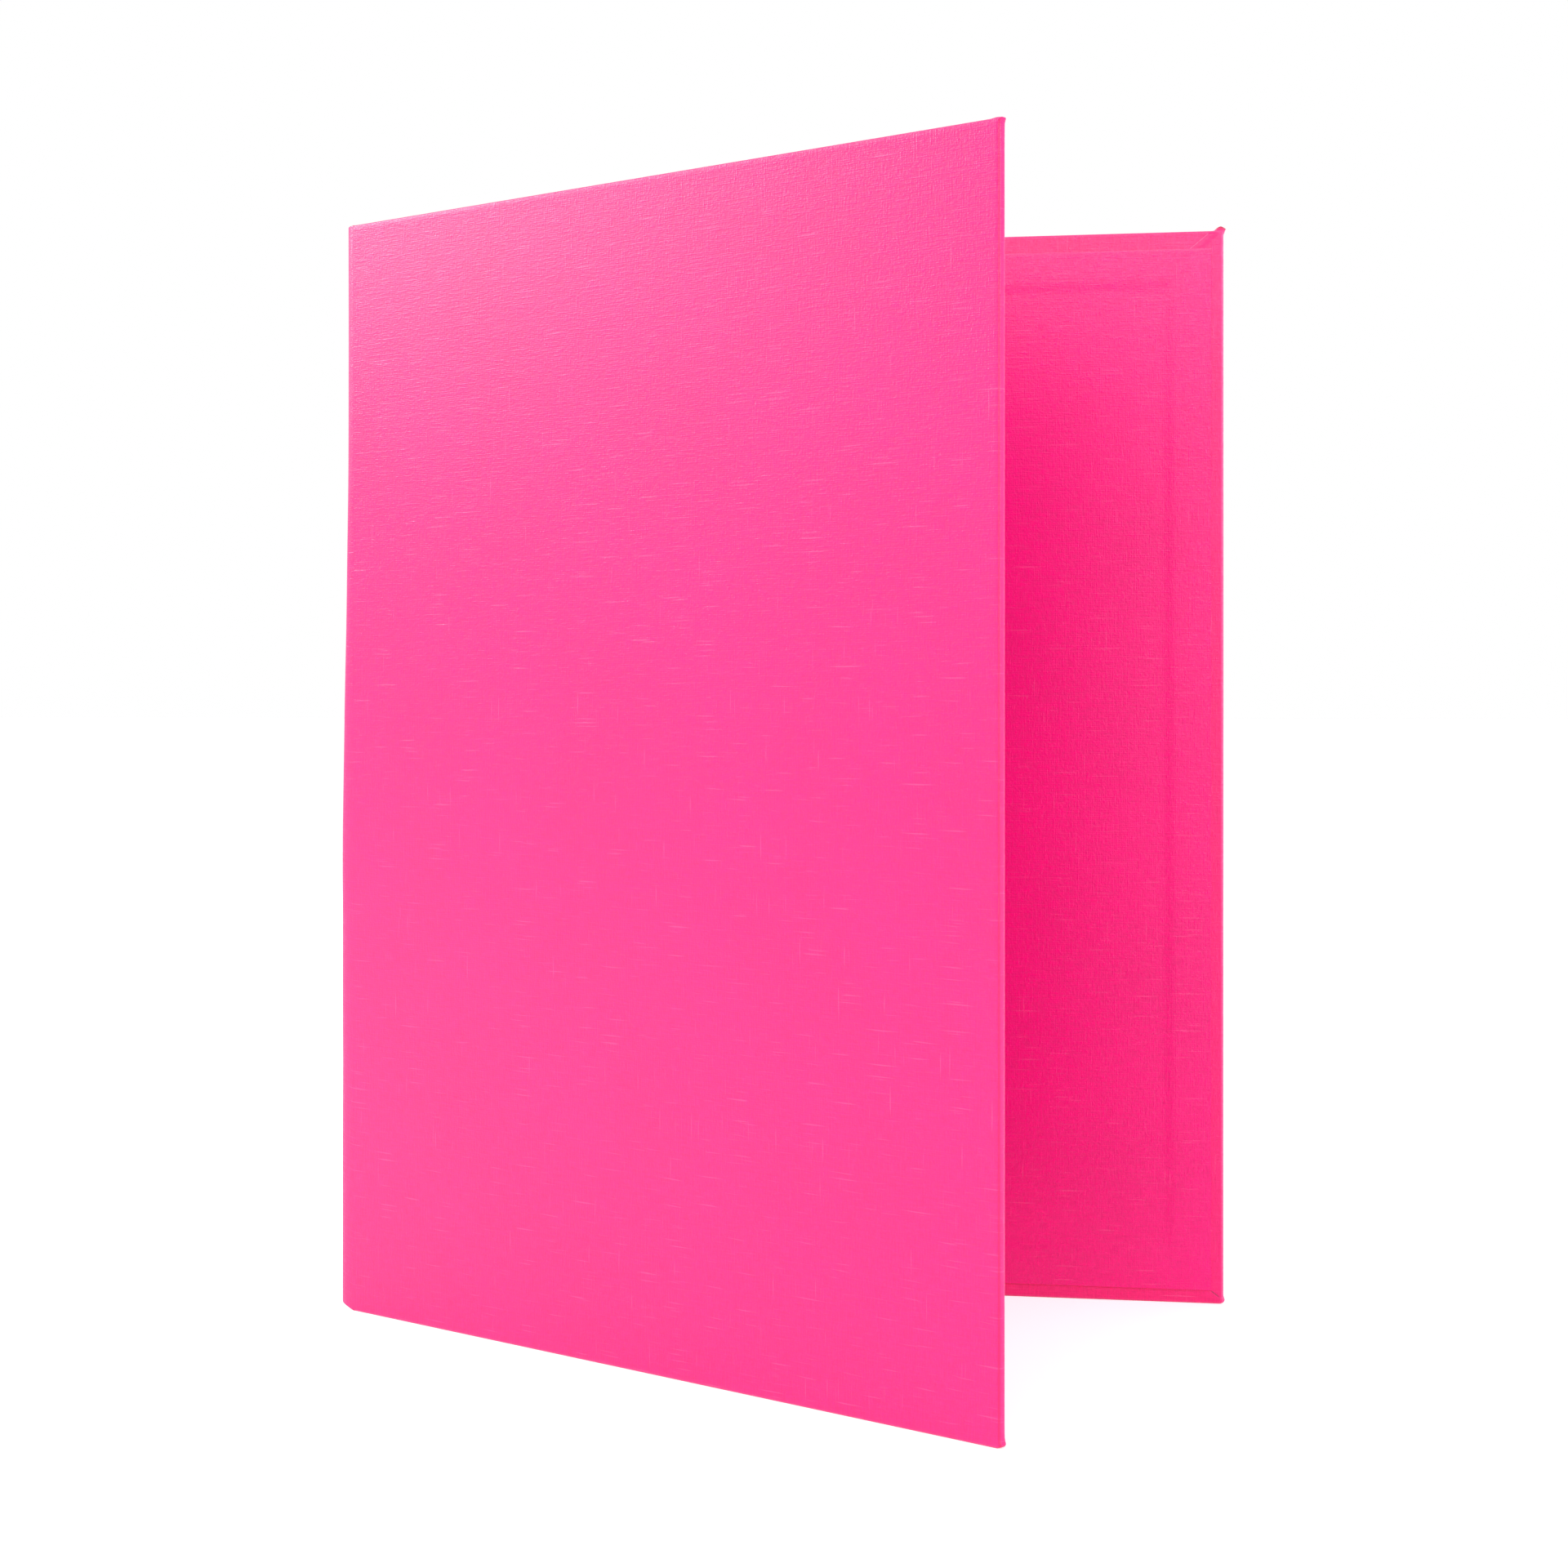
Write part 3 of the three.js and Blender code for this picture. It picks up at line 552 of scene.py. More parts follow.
def strip_grid(spine, cover, side, sizes):
    """A hinge strip: a closed section carried up the hinge and drawn shut at its head and foot.

    The section's outer side is a cubic curve from the spine's edge to the cover's, whose handle on
    the cover's side grows towards the foot, so that the cloth stands slacker there. Its inner side
    lies the strip's thickness inside that, and climbs over the two boards' edges to the linings.
    """
    up = np.array([0.0, 0.0, 1.0])
    across = np.array([0.0, float(side), 0.0])
    start, end = hinge_ends(spine, cover, side)
    steps = [0, 0.03, 0.07, 0.12, 0.17, 0.22, 0.3, 0.4, 0.5]
    steps = np.array([*steps, 0.6, 0.7, 0.78, 0.83, 0.88, 0.93, 0.97, 1])
    tall, even = cover.height, 14 * MM
    near = np.array([0.0, 0.12, 0.3, 0.6, 1.2, 3, 7]) * MM
    heights = np.concatenate([near, np.linspace(even, tall - even, 60), tall - near[::-1]])
    handle, cap_radius = 0.36, 0.3 * MM
    slack = sizes.hinge_slack * smooth(0.85, 0.4, heights / tall) if side < 0 else 0 * heights
    slack = slack + 0.02 * np.sin(heights * 61.0) + 0.015 * np.sin(heights * 143.0 + 1.0)
    span = np.linalg.norm(end - start)
    leave = start + span * (handle - 0.1 * slack)[:, None] * across
    arrive = end - span * (handle + slack)[:, None] * cover.along
    outer = bezier(start, leave, arrive, end, steps)
    tangent = np.gradient(outer, steps, axis=0)
    tangent[0], tangent[-1] = across, cover.along
    tangent /= np.linalg.norm(tangent, axis=2, keepdims=True)
    inward = np.cross(up, tangent) * -side
    foot_rise = sizes.hinge_foot_rise if side < 0 else sizes.hinge_head_dip
    pulled = np.where(heights > tall / 2, sizes.hinge_head_dip, foot_rise)[None, :]
    sag = pulled * (4 * steps * (1 - steps))[:, None]
    z = tall / 2 + (heights - tall / 2)[None, :] * (1 - sag / (tall / 2))
    shut = np.clip(np.minimum(heights, tall - heights) / cap_radius, 0, 1)
    cap = np.sqrt(1 - (1 - shut) ** 2)[None, :]
    ends = 1 - smooth(0.0, 0.17, steps) + smooth(0.83, 1.0, steps)
    thin = sizes.strip_thickness
    wall = (thin + (lining_depth(cover, sizes) - thin) * ends)[:, None]
    core = outer + 0.5 * thin * inward + z[..., None] * up
    outside = core - (0.5 * thin * cap)[..., None] * inward
    inside = core + ((wall - 0.5 * thin) * cap)[..., None] * inward
    section = np.concatenate([outside, inside[::-1], outside[:1]])
    lengths = np.linalg.norm(np.diff(section, axis=0), axis=2)
    run = np.concatenate([np.zeros((1, len(heights))), np.cumsum(lengths, axis=0)])
    run = cover.start + run - run[len(steps) - 1]
    uv = np.stack([run, heights[None, :] + 0 * run], -1)
    return section, uv, side < 0, 0.0, NO_SEAM


# Ring halves.


def ring_path(side, pivot, sizes, tilt):
    """Middle line of a ring half from its stake to its tip, in X and Y, and the stake's way.

    A straight foot leaves square to the tilted blade, a cubic curve swings it out, and a circle
    closes over the top.
    """
    clearance = 0.1 * MM
    join = math.radians(45.0)
    normal = np.array([math.cos(tilt), math.sin(tilt)])
    along = np.array([-math.sin(tilt), math.cos(tilt)])
    centre = np.array([pivot[0] + sizes.centre_rise, 0.0])
    foot = np.array([pivot[0], -abs(pivot[1])]) + sizes.stake_reach * along
    foot = foot + (sizes.blade_thickness / 2 + clearance) * normal
    meet = centre - sizes.ring_radius * np.array([math.cos(join), math.sin(join)])
    reach = np.linalg.norm(meet - foot) / 3
    arriving = meet - reach * np.array([math.sin(join), -math.cos(join)])
    bend = bezier(foot, foot + reach * normal, arriving, meet, np.linspace(0, 1, 22))
    angles = np.linspace(join, math.pi - clearance / sizes.ring_radius, 84)[1:]
    arc = centre - sizes.ring_radius * np.stack([np.cos(angles), np.sin(angles)], 1)
    path = np.concatenate([bend, arc])
    path[:, 1] *= -side
    return path, normal * np.array([1.0, -side])


def turned_along(path, tangents, radii, z, sides=28):
    """A round section of changing radius carried along a flat path at height z."""
    turn = np.linspace(0.0, 2 * math.pi, sides + 1)
    flat = np.concatenate([path, np.full((len(path), 1), z)], 1)
    out = np.stack([-tangents[:, 1], tangents[:, 0], np.zeros(len(path))], 1)
    up = np.array([0.0, 0.0, 1.0])
    circle = np.cos(turn)[None, :, None] * out[:, None, :] + np.sin(turn)[None, :, None] * up
    return flat[:, None, :] + radii[:, None, None] * circle


def ring_half_grid(side, pivot, z, sizes, tilt):
    """One ring half as one turned surface: stake head, stake, wire, then a stud or a cup."""
    path, normal = ring_path(side, pivot, sizes, tilt)
    wire, stake, stud = sizes.wire_radius, sizes.stake_radius, sizes.stud_length
    tangents = np.gradient(path, axis=0)
    tangents[0] = normal
    tangents /= np.linalg.norm(tangents, axis=1)[:, None]
    through = sizes.blade_thickness + 0.2 * MM
    head = through + 0.5 * MM
    foot_offsets = -np.array([head, head, through + 0.4 * MM, through, through, 0.0, 0.0])
    foot_radii = np.array([0.0, 1.7 * MM, 2.0 * MM, 2.0 * MM, stake, stake, wire - 0.25 * MM])
    foot = path[0] + foot_offsets[:, None] * normal
    foot_tangents = np.repeat(normal[None, :], len(foot), 0)
    wire_radii = np.full(len(path), wire)
    wire_radii[-1] = wire - sizes.tip_chamfer
    tip_way = tangents[-1]
    if side < 0:
        tip_offsets = np.array([0.0, stud - 0.3 * MM, stud - 0.08 * MM, stud, stud])
        tip_radii = np.array([0.9, 0.9, 0.72, 0.4, 0.0]) * MM
    else:
        tip_offsets = np.array([0.0, -0.15 * MM, -stud, -stud - 0.2 * MM, -stud - 0.2 * MM])
        tip_radii = np.array([1.25, 1.1, 1.1, 0.6, 0.0]) * MM
    tip = path[-1] + tip_offsets[:, None] * tip_way
    tip_tangents = np.repeat(tip_way[None, :], len(tip), 0)
    points = np.concatenate([foot, path, tip])
    ways = np.concatenate([foot_tangents, tangents, tip_tangents])
    radii = np.concatenate([foot_radii, wire_radii, tip_radii])
    grid = turned_along(points, ways, radii, z)
    run = np.arange(len(points)) * MM
    uv = np.meshgrid(run, np.linspace(0, 12 * MM, grid.shape[1]), indexing="ij")
    return grid, np.stack(uv, -1), side > 0


# Fine copies of frame nodes.


def fine_copy(node):
    """A merged, smooth-shaded copy of a frame node's mesh, its flat faces made whole again."""
    merge, flat_angle = 0.004 * MM, math.radians(0.5)
    mesh = frame["nodes"][node].data.copy()
    mesh.name = f"{node}_fine"
    builder = bmesh.new()
    builder.from_mesh(mesh)
    bmesh.ops.remove_doubles(builder, verts=builder.verts, dist=merge)
    bmesh.ops.dissolve_limit(
        builder, angle_limit=flat_angle, verts=builder.verts, edges=builder.edges
    )
    builder.to_mesh(mesh)
    builder.free()
    mesh.polygons.foreach_set("use_smooth", np.ones(len(mesh.polygons), bool))
    mesh.set_sharp_from_angle(angle=METAL_SHARP)
    return mesh


def round_edges(piece, width):
    """Rounds a piece's sharp edges."""
    bevel = piece.modifiers.new("edge", "BEVEL")
    bevel.width = width
    bevel.segments = 2
    bevel.limit_method = "ANGLE"
    bevel.angle_limit = METAL_SHARP
    bevel.harden_normals = True
    bevel.use_clamp_overlap = True


def finish_nodes(finishes):
    """A fine copy in place of each node, from its slot, body and edge rounding in millimetres."""
    for node, (slot, body, width) in finishes.items():
        piece = add_piece(f"{node}_fine", fine_copy(node), slot, node, body)
        round_edges(piece, width * MM)


# Materials.


class Recipe:
    """Adds and joins the shader nodes of one material or world."""

    def __init__(self, owner, shader="BsdfPrincipled", output="OutputMaterial"):
        owner.use_nodes = True
        self.tree = owner.node_tree
        self.tree.nodes.clear()
        self.shader = self.add(f"ShaderNode{shader}")
        output = self.add(f"ShaderNode{output}")
        self.join(self.shader.outputs[0], output.inputs["Surface"])

    def add(self, kind, inputs=None, **settings):
        """A node with its settings, and each input joined to a socket or set to a value."""
        made = self.tree.nodes.new(kind)
        for name, value in settings.items():
            setattr(made, name, value)
        for name, value in (inputs or {}).items():
            if isinstance(value, bpy.types.NodeSocket):
                self.join(value, made.inputs[name])
            else:
                made.inputs[name].default_value = value
        return made

    def join(self, source, target):
        self.tree.links.new(source, target)

    def set(self, **values):
        """Sets values on the shader's own sockets."""
        for name, value in values.items():
            self.shader.inputs[name.replace("_", " ")].default_value = value

    def feed(self, name, source):
        """Joins a socket to one of the shader's own."""
        self.join(source, self.shader.inputs[name])

    def stretched(self, vector, scale):
        return self.add("ShaderNodeMapping", {"Vector": vector, "Scale": scale}).outputs[0]

    def noise(self, vector, scale, detail=2.0, roughness=0.5):
        inputs = {"Vector": vector, "Scale": scale, "Detail": detail, "Roughness": roughness}
        return self.add("ShaderNodeTexNoise", inputs).outputs["Fac"]

    def math(self, operation, first, second=0.0, clamp=False):
        inputs = {0: first, 1: second}
        return self.add("ShaderNodeMath", inputs, operation=operation, use_clamp=clamp).outputs[0]

    def span(self, value, low, high, to_low=0.0, to_high=1.0):
        """A value between low and high, spread from to_low to to_high."""
        inputs = {"Value": value, "From Min": low, "From Max": high}
        inputs.update({"To Min": to_low, "To Max": to_high})
        return self.add("ShaderNodeMapRange", inputs).outputs[0]

    def blend(self, factor, first, second):
        """Two colours mixed by a factor."""
        inputs = {0: factor, 6: first, 7: second}
        return self.add("ShaderNodeMix", inputs, data_type="RGBA").outputs[2]

    def seen(self):
        """1 for what the camera, mirrors and glass see, and 0 for the light on the object."""
        path = self.add("ShaderNodeLightPath").outputs
        seen = self.math("MAXIMUM", path["Is Camera Ray"], path["Is Glossy Ray"])
        return self.math("MAXIMUM", seen, path["Is Transmission Ray"])

    def bump(self, height, distance, strength=1.0):
        inputs = {"Height": height, "Distance": distance, "Strength": strength}
        self.feed("Normal", self.add("ShaderNodeBump", inputs).outputs[0])


def shade(rgb, factor):
    """A colour with its brightness changed, as four numbers."""
    return (*[min(value * factor, 1.0) for value in rgb], 1.0)


def linen_relief(recipe, cloth, pitch):
    """The crossing threads, the slubs that stand out of them, and the height of all."""
    thread = 1.0 / pitch
    wavy = recipe.span(recipe.noise(cloth, 160.0), 0.2, 0.8, -0.22 * pitch, 0.22 * pitch)
    wander = recipe.add("ShaderNodeCombineXYZ", {0: wavy, 1: wavy}).outputs[0]
    inputs = {0: cloth, 1: wander}
    bent = recipe.add("ShaderNodeVectorMath", inputs, operation="ADD").outputs[0]
    across, upright = recipe.add("ShaderNodeSeparateXYZ", {0: bent}).outputs[:2]
    ribs = []
    for way, wide, tall in ((upright, 0.12, 0.9), (across, 0.9, 0.16)):
        wave = recipe.math("SINE", recipe.math("MULTIPLY", way, 2 * math.pi * thread))
        stretch = (wide * thread, tall * thread, 1)
        uneven = recipe.noise(recipe.stretched(bent, stretch), 1.0, 3.0, 0.6)
        even = recipe.span(wave, -1.0, 1.0, 0.35, 0.65)
        ribs.append(recipe.math("MULTIPLY", recipe.span(uneven, 0.25, 0.75), even))
    threads = recipe.math("ADD", *ribs)
    lying = recipe.noise(recipe.stretched(cloth, (0.045 * thread, 1.1 * thread, 1)), 1.0, 0.0)
    standing = recipe.noise(recipe.stretched(cloth, (1.1 * thread, 0.045 * thread, 1)), 1.0, 0.0)
    lying, standing = recipe.span(lying, 0.72, 0.82), recipe.span(standing, 0.77, 0.87)
    slubs = recipe.math("MAXIMUM", lying, standing)
    crinkle = recipe.noise(bent, 0.8 * thread, 2.0, 0.6)
    height = recipe.math("ADD", threads, recipe.math("MULTIPLY", slubs, 0.2))
    height = recipe.math("ADD", height, recipe.math("MULTIPLY", crinkle, 1.1))
    return threads, slubs, height


def linen_material(recipe, rgb, worn_and_highlight, pitch, relief, roughness, gloss):
    """Linen-embossed paper: crossing threads with long slubs, rubbed paler along its folds.

    Its threads are painted darker in their hollows and paler on top, and its slubs paler, as
    painted shade and highlight. It is deeper where its fold marks are below zero, a painted shade,
    and along a lapping edge darker at the foot, a painted shade, and paler at the head, a painted
    highlight.
    """
    cloth = recipe.add("ShaderNodeUVMap", uv_map=CLOTH_UV).outputs[0]
    threads, slubs, height = linen_relief(recipe, cloth, pitch)
    pale = (*worn_and_highlight, 1.0)
    patch = recipe.span(recipe.noise(cloth, 22.0, 3.0), 0.3, 0.7, -0.5, 0.5)
    patch = recipe.math("MULTIPLY", patch, 0.35)
    # Hollows between the threads are darker and their tops paler: painted shade and light on the
    # weave, plus the patches' random tone.
    tone = recipe.math("ADD", recipe.span(threads, 0.2, 0.8), patch, clamp=True)
    base = recipe.blend(tone, shade(rgb, 0.86), shade(rgb, 1.08))
    # The slubs are blended towards the pale pink: a painted highlight along them.
    base = recipe.blend(recipe.math("MULTIPLY", slubs, 0.32), base, pale)
    wear_and_painted_light = recipe.add("ShaderNodeAttribute", attribute_name="wear_and_painted_light").outputs["Fac"]
    # Paler where the fold marks are above zero: rubbing on the folds and the lining's head, and a
    # painted highlight on the fore-edge's far fold.
    ragged = recipe.span(recipe.noise(cloth, 900.0, 3.0, 0.7), 0.3, 0.7, 0.2, 0.6)
    rubbed = recipe.math("MULTIPLY", wear_and_painted_light, ragged, clamp=True)
    # A deeper pink where the fold marks are below zero: painted shade in the pleat, the fore-edge's
    # crease, under the foot's fold and along the lining's foot.
    deep = (0.8 * rgb[0], 0.5 * rgb[1], 0.5 * rgb[2], 1.0)
    base = recipe.blend(recipe.span(wear_and_painted_light, -0.1, -1.0), base, deep)
    # Along a lapping edge: a dark painted shade at the foot and a pale painted highlight at the
    # head.
    seam = recipe.add("ShaderNodeAttribute", attribute_name="seam").outputs["Fac"]
    seam = recipe.span(seam, 0.04, 0.18, 1.0, 0.0)
    seam = recipe.math("MULTIPLY", seam, recipe.span(ragged, 0.25, 0.4, 0.4, 1.0))
    upper = recipe.span(recipe.add("ShaderNodeSeparateXYZ", {0: cloth}).outputs[1], 0.15, 0.17)
    base = recipe.blend(seam, base, recipe.blend(upper, shade(rgb, 0.42), shade(worn_and_highlight, 1.15)))
    recipe.feed("Base Color", recipe.blend(rubbed, base, pale))
    recipe.feed("Roughness", recipe.span(threads, 0.3, 0.7, roughness + 0.07, roughness - 0.05))
    recipe.bump(height, relief)
    recipe.set(Specular_IOR_Level=gloss)


def board_material(recipe, rgb):
    """Greyboard: pulp with darker and paler flecks."""
    where = recipe.add("ShaderNodeTexCoord").outputs["Object"]
    fleck = recipe.noise(where, 2600.0, 4.0, 0.7)
    cloud = recipe.math("MULTIPLY", recipe.noise(where, 120.0), 0.3)
    tone = recipe.math("ADD", recipe.span(fleck, 0.35, 0.65), cloud, clamp=True)
    recipe.feed("Base Color", recipe.blend(tone, shade(rgb, 0.7), shade(rgb, 1.25)))
    recipe.bump(fleck, 0.05 * MM, 0.5)
    recipe.set(Roughness=0.92)


def plated_material(recipe, rgb, roughness, brush, grain):
    """Plated steel: fine drawn lines along one way, faint smudges and a few scratches."""
    where = recipe.add("ShaderNodeTexCoord").outputs["Object"]
    lines = recipe.noise(recipe.stretched(where, brush), 1.0, 4.0, 0.65)
    smudge = recipe.noise(where, 75.0, 3.0)
    crossed = recipe.stretched(where, (brush[1], brush[0], brush[2]))
    scratch = recipe.span(recipe.noise(crossed, 1.0), 0.7, 0.78)
    tone = recipe.span(lines, 0.3, 0.7, 0.3, 0.7)
    tone = recipe.math("ADD", tone, recipe.span(smudge, 0.3, 0.7, -0.2, 0.2))
    recipe.feed("Base Color", recipe.blend(tone, shade(rgb, 0.88), shade(rgb, 1.08)))
    rough = recipe.span(lines, 0.3, 0.7, roughness - grain, roughness + grain)
    rough = recipe.math("ADD", rough, recipe.math("MULTIPLY", scratch, 0.12))
    rough = recipe.math("ADD", rough, recipe.span(smudge, 0.35, 0.65, 0.0, 0.06))
    recipe.feed("Roughness", rough)
    height = recipe.math("SUBTRACT", lines, recipe.math("MULTIPLY", scratch, 0.5))
    recipe.bump(height, 0.01 * MM, 0.35)
    recipe.set(Metallic=1.0)


def floor_material(recipe, rgb):
    """Plain pale floor, which camera, mirrors and glass see a little brighter."""
    where = recipe.add("ShaderNodeTexCoord").outputs["Object"]
    tone = recipe.noise(where, 2.0, 1.0)
    recipe.feed("Base Color", recipe.blend(tone, shade(rgb, 0.995), shade(rgb, 1.005)))
    recipe.feed("Emission Strength", recipe.math("MULTIPLY", recipe.seen(), 0.5))
    recipe.set(Roughness=0.9, Specular_IOR_Level=0.1, Emission_Color=(1.0, 1.0, 1.0, 1.0))


def material(key):
    """Each material once, made from the scene's colours.

    After the colours, linen has its pitch, relief, roughness and gloss, and plated steel its
    roughness, its drawn lines for each metre along X, Y and Z, and the lines' change of roughness.
    """
    name = f"{key}_finish"
    made = bpy.data.materials.get(name)
    if made:
        return made
    colours = bpy.context.scene.binder_colours
    nickel, steel, worn_and_highlight = colours.nickel, colours.steel, colours.worn_and_highlight
    pitch, relief = bpy.context.scene.binder_case.thread_pitch, 0.055 * MM
    makers = {
        "linen_cover": (linen_material, colours.linen, worn_and_highlight, pitch, relief, 0.34, 0.5),
        "linen_lining": (linen_material, colours.lining, worn_and_highlight, pitch, relief, 0.3, 0.45),
        "greyboard": (board_material, colours.greyboard),
        "plated_shield": (plated_material, nickel, 0.24, (5200.0, 5200.0, 60.0), 0.06),
        "ring_wire": (plated_material, nickel, 0.14, (900.0, 900.0, 5200.0), 0.03),
        "rivet_nickel": (plated_material, nickel, 0.24, (3000.0, 3000.0, 3000.0), 0.04),
        "mechanism_steel": (plated_material, steel, 0.36, (4200.0, 4200.0, 90.0), 0.08),
        "pale_floor": (floor_material, colours.floor),
    }
    maker, *values = makers[key]
    made = bpy.data.materials.new(name)
    maker(Recipe(made), *values)
    return made


# Operators.


class BINDER_OT_coverings(bpy.types.Operator):
    """Folds the linen covering round both covers and the spine"""

    bl_idname = "binder.coverings"
    bl_label = "Coverings"

    def execute(self, context):
        sizes = context.scene.binder_case
        for name, place in panel_places().items():
            grids = covering_grids(place, sizes)
            mesh = mesh_of_grids(f"{name}_covering", grids, LINEN_FIELDS)
            piece = add_piece(mesh.name, mesh, "linen_cover", f"{name}_wrap", place.body)
            solidify(piece, sizes.covering_thickness)
        return {"FINISHED"}


class BINDER_OT_linings(bpy.types.Operator):
    """Lays the linings on the inner faces"""

    bl_idname = "binder.linings"
    bl_label = "Linings"

    def execute(self, context):
        sizes = context.scene.binder_case
        for name, place in panel_places().items():
            grids = [lining_grid(place, sizes)]
            mesh = mesh_of_grids(f"{name}_lining_sheet", grids, LINEN_FIELDS)
            piece = add_piece(mesh.name, mesh, "linen_lining", f"{name}_lining", place.body)
            solidify(piece, sizes.lining_thickness)
        return {"FINISHED"}


class BINDER_OT_hinge_strips(bpy.types.Operator):
    """Bends the covering and lining across the two hinge gaps"""

    bl_idname = "binder.hinge_strips"
    bl_label = "Hinge strips"

    def execute(self, context):
        sizes = context.scene.binder_case
        places = panel_places()
        for name, side in (("front", -1), ("back", 1)):
            cover = places[name]
            grids = [strip_grid(places["spine"], cover, side, sizes)]
            mesh = mesh_of_grids(f"{name}_hinge_cloth", grids, LINEN_FIELDS)
            mesh.set_sharp_from_angle(angle=HINGE_SHARP)
            piece = add_piece(mesh.name, mesh, "linen_cover", f"{name}_hinge_strip")
            start, end = hinge_ends(places["spine"], cover, side, STIFF_EDGE)
            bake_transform(piece)
        return {"FINISHED"}


class BINDER_OT_boards(bpy.types.Operator):
    """Gives the greyboards inside the covering their pressed edges and pulp surface"""

    bl_idname = "binder.boards"
    bl_label = "Greyboards"

    def execute(self, context):
        bodies = {"front": "front_cover", "back": "back_cover", "spine": "spine"}
        finish_nodes({f"{name}_board": ("greyboard", body, 0.6) for name, body in bodies.items()})
        return {"FINISHED"}


class BINDER_OT_ring_halves(bpy.types.Operator):
    """Bends the eight ring halves from round wire"""

    bl_idname = "binder.ring_halves"
    bl_label = "Ring halves"

    def execute(self, context):
        sizes = context.scene.binder_rings
        half_swing = math.radians(JOINTS["ring_opening"]["range_deg"][1]) / 2
        for side, name, joint in ((-1, "left", "ring_opening"), (1, "right", "right_ring_opening")):
            pivot = JOINTS[joint]["pos_m"]
            for number in range(1, 5):
                node = f"{name}_ring_{number}"
                low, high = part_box(node)
                grid = ring_half_grid(side, pivot, (low[2] + high[2]) / 2, sizes, half_swing)
                mesh = mesh_of_grids(f"{node}_wire", [grid])
                mesh.set_sharp_from_angle(angle=WIRE_SHARP)
                add_piece(mesh.name, mesh, "ring_wire", node, f"{name}_carrier")
        return {"FINISHED"}


class BINDER_OT_plate_and_blades(bpy.types.Operator):
    """Finishes the cover plate and the two blades under it"""

    bl_idname = "binder.plate_and_blades"
    bl_label = "Cover plate and blades"

    def execute(self, context):
        finishes = {
            "cover_plate": ("plated_shield", "spine", 0.16),
            "left_blade": ("mechanism_steel", "left_carrier", 0.08),
            "right_blade": ("mechanism_steel", "right_carrier", 0.08),
        }
        finish_nodes(finishes)
        return {"FINISHED"}


class BINDER_OT_levers(bpy.types.Operator):
    """Finishes the opening levers and their pins"""

    bl_idname = "binder.levers"
    bl_label = "Levers and pins"

    def execute(self, context):
        finishes = {}
        for end in ("lower", "upper"):
            finishes[f"{end}_lever"] = ("mechanism_steel", f"{end}_lever", 0.14)
            finishes[f"{end}_lever_pin"] = ("mechanism_steel", "spine", 0.08)
        finish_nodes(finishes)
        return {"FINISHED"}


class BINDER_OT_rivets(bpy.types.Operator):
    """Finishes the rivets through the spine and their spacer tubes"""

    bl_idname = "binder.rivets"
    bl_label = "Rivets and spacers"

    def execute(self, context):
        finishes = {}
        for end in ("lower", "upper"):
            finishes[f"{end}_rivet"] = ("rivet_nickel", "spine", 0.08)
            finishes[f"{end}_spacer"] = ("mechanism_steel", "spine", 0.05)
        finish_nodes(finishes)
        return {"FINISHED"}


class BINDER_OT_stage(bpy.types.Operator):
    """Sets the floor, the lamps, the world and the camera"""

    bl_idname = "binder.stage"
    bl_label = "Stage"

    def execute(self, context):
        build_floor()
        build_world(context.scene)
        build_lamps()
        build_camera(context.scene)
        context.scene.view_settings.view_transform = "Standard"
        return {"FINISHED"}


def build_floor():
    """A wide flat floor under the binder."""
    reach = np.linspace(-30.0, 30.0, 13)
    x, y = np.meshgrid(reach, reach, indexing="ij")
    points = np.stack([x, y, np.zeros_like(x)], -1)
    mesh = mesh_of_grids("floor", [(points, points[..., :2], False)])
    floor = bpy.data.objects.new("floor", mesh)
    bpy.context.scene.collection.objects.link(floor)
    mesh.materials.append(material("pale_floor"))


def build_world(scene):
    """Even light from all round, with white shown behind the object."""
    scene.world = bpy.data.worlds.new("studio")
    recipe = Recipe(scene.world, "Background", "OutputWorld")
    recipe.set(Color=(1.0, 1.0, 1.0, 1.0))
    recipe.feed("Strength", recipe.span(recipe.seen(), 0.0, 1.0, 0.6, 1.0))


def build_lamps():
    """Four soft lamps, one on each side of the binder, all above it.

    Each has its name, place, target, width, height and power.
    """
    lamps = (
        ("lamp_left", (-1.35, 0.12, 0.86), (0.05, -0.05, 0.28), 0.7, 0.6, 16.5),
        ("lamp_front", (0.0, -1.8, 0.75), (0.12, 0.0, 0.2), 1.2, 0.8, 10.5),
        ("lamp_right", (1.4, -0.6, 0.7), (0.15, 0.0, 0.15), 1.0, 1.0, 10.0),
        ("lamp_back", (0.1, 1.9, 0.8), (0.1, 0.0, 0.15), 1.4, 0.9, 8.0),
    )
    for name, place, target, width, height, power in lamps:
        data = bpy.data.lights.new(name, "AREA")
        data.shape = "RECTANGLE"
        data.size = width
        data.size_y = height
        data.energy = power
        lamp = bpy.data.objects.new(name, data)
        bpy.context.scene.collection.objects.link(lamp)
        lamp.location = place
        way = np.array(target) - np.array(place)
        tilt = math.acos(-way[2] / np.linalg.norm(way))
        lamp.rotation_euler = (tilt, 0.0, math.atan2(way[1], way[0]) - math.pi / 2)


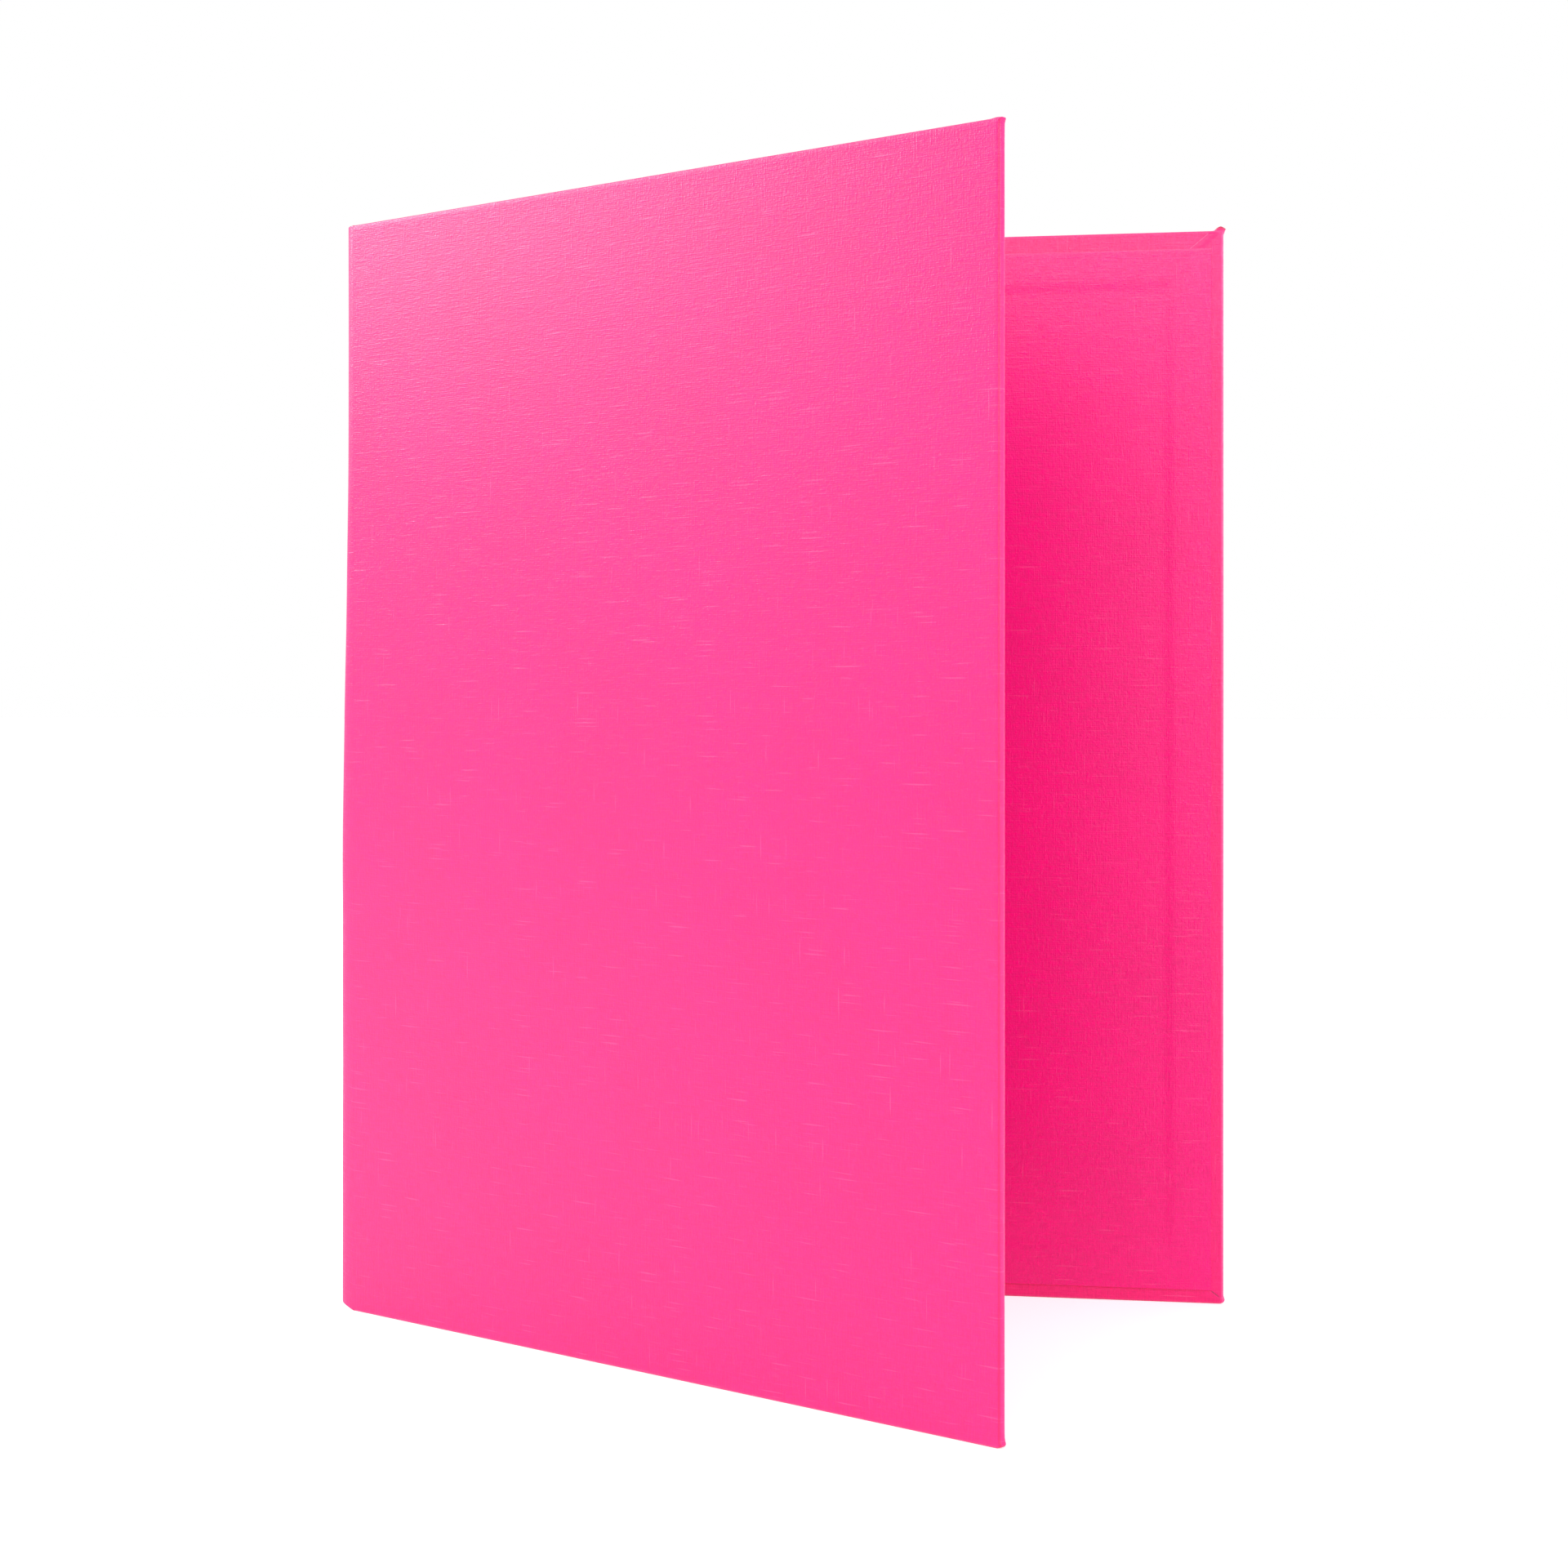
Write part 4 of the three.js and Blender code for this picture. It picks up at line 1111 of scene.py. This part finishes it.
def build_camera(scene):
    """The photograph's camera: level, with the frame moved down a little."""
    azimuth = math.radians(11.41)
    focal_pixels = 3918.0
    horizon = 858.5
    data = bpy.data.cameras.new("camera")
    data.sensor_width = 36.0
    data.sensor_fit = "HORIZONTAL"
    data.lens = focal_pixels / PHOTO_SIZE * data.sensor_width
    data.shift_y = (horizon - PHOTO_SIZE / 2) / PHOTO_SIZE
    data.clip_end = 200.0
    camera = bpy.data.objects.new("camera", data)
    scene.collection.objects.link(camera)
    camera.location = (0.3109, -0.9264, 0.1786)
    camera.rotation_euler = (math.pi / 2, 0.0, azimuth)
    scene.camera = camera


class BINDER_PT_build(bpy.types.Panel):
    """Lists the binder's sizes, colours and pieces"""

    bl_idname = "BINDER_PT_build"
    bl_label = "Ring binder"
    bl_space_type = "VIEW_3D"
    bl_region_type = "UI"
    bl_category = "Binder"

    def draw(self, context):
        scene = context.scene
        for group in (scene.binder_case, scene.binder_rings, scene.binder_colours):
            box = self.layout.box()
            for name in group.bl_rna.properties.keys():
                if name not in ("rna_type", "name"):
                    box.prop(group, name)
        column = self.layout.column()
        for operator in OPERATORS:
            column.operator(operator.bl_idname)


GROUPS = (BinderCaseSizes, BinderRingSizes, BinderColours)
OPERATORS = (
    BINDER_OT_coverings,
    BINDER_OT_linings,
    BINDER_OT_hinge_strips,
    BINDER_OT_boards,
    BINDER_OT_ring_halves,
    BINDER_OT_plate_and_blades,
    BINDER_OT_levers,
    BINDER_OT_rivets,
    BINDER_OT_stage,
)


def register():
    for cls in (*GROUPS, *OPERATORS, BINDER_PT_build):
        bpy.utils.register_class(cls)
    bpy.types.Scene.binder_case = bpy.props.PointerProperty(type=BinderCaseSizes)
    bpy.types.Scene.binder_rings = bpy.props.PointerProperty(type=BinderRingSizes)
    bpy.types.Scene.binder_colours = bpy.props.PointerProperty(type=BinderColours)


def unregister():
    del bpy.types.Scene.binder_colours
    del bpy.types.Scene.binder_rings
    del bpy.types.Scene.binder_case
    for cls in reversed((*GROUPS, *OPERATORS, BINDER_PT_build)):
        bpy.utils.unregister_class(cls)


def main():
    """Registers the add-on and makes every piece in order."""
    register()
    for operator in OPERATORS:
        getattr(bpy.ops.binder, operator.bl_idname.split(".")[1])()


if __name__ == "__main__":
    main()
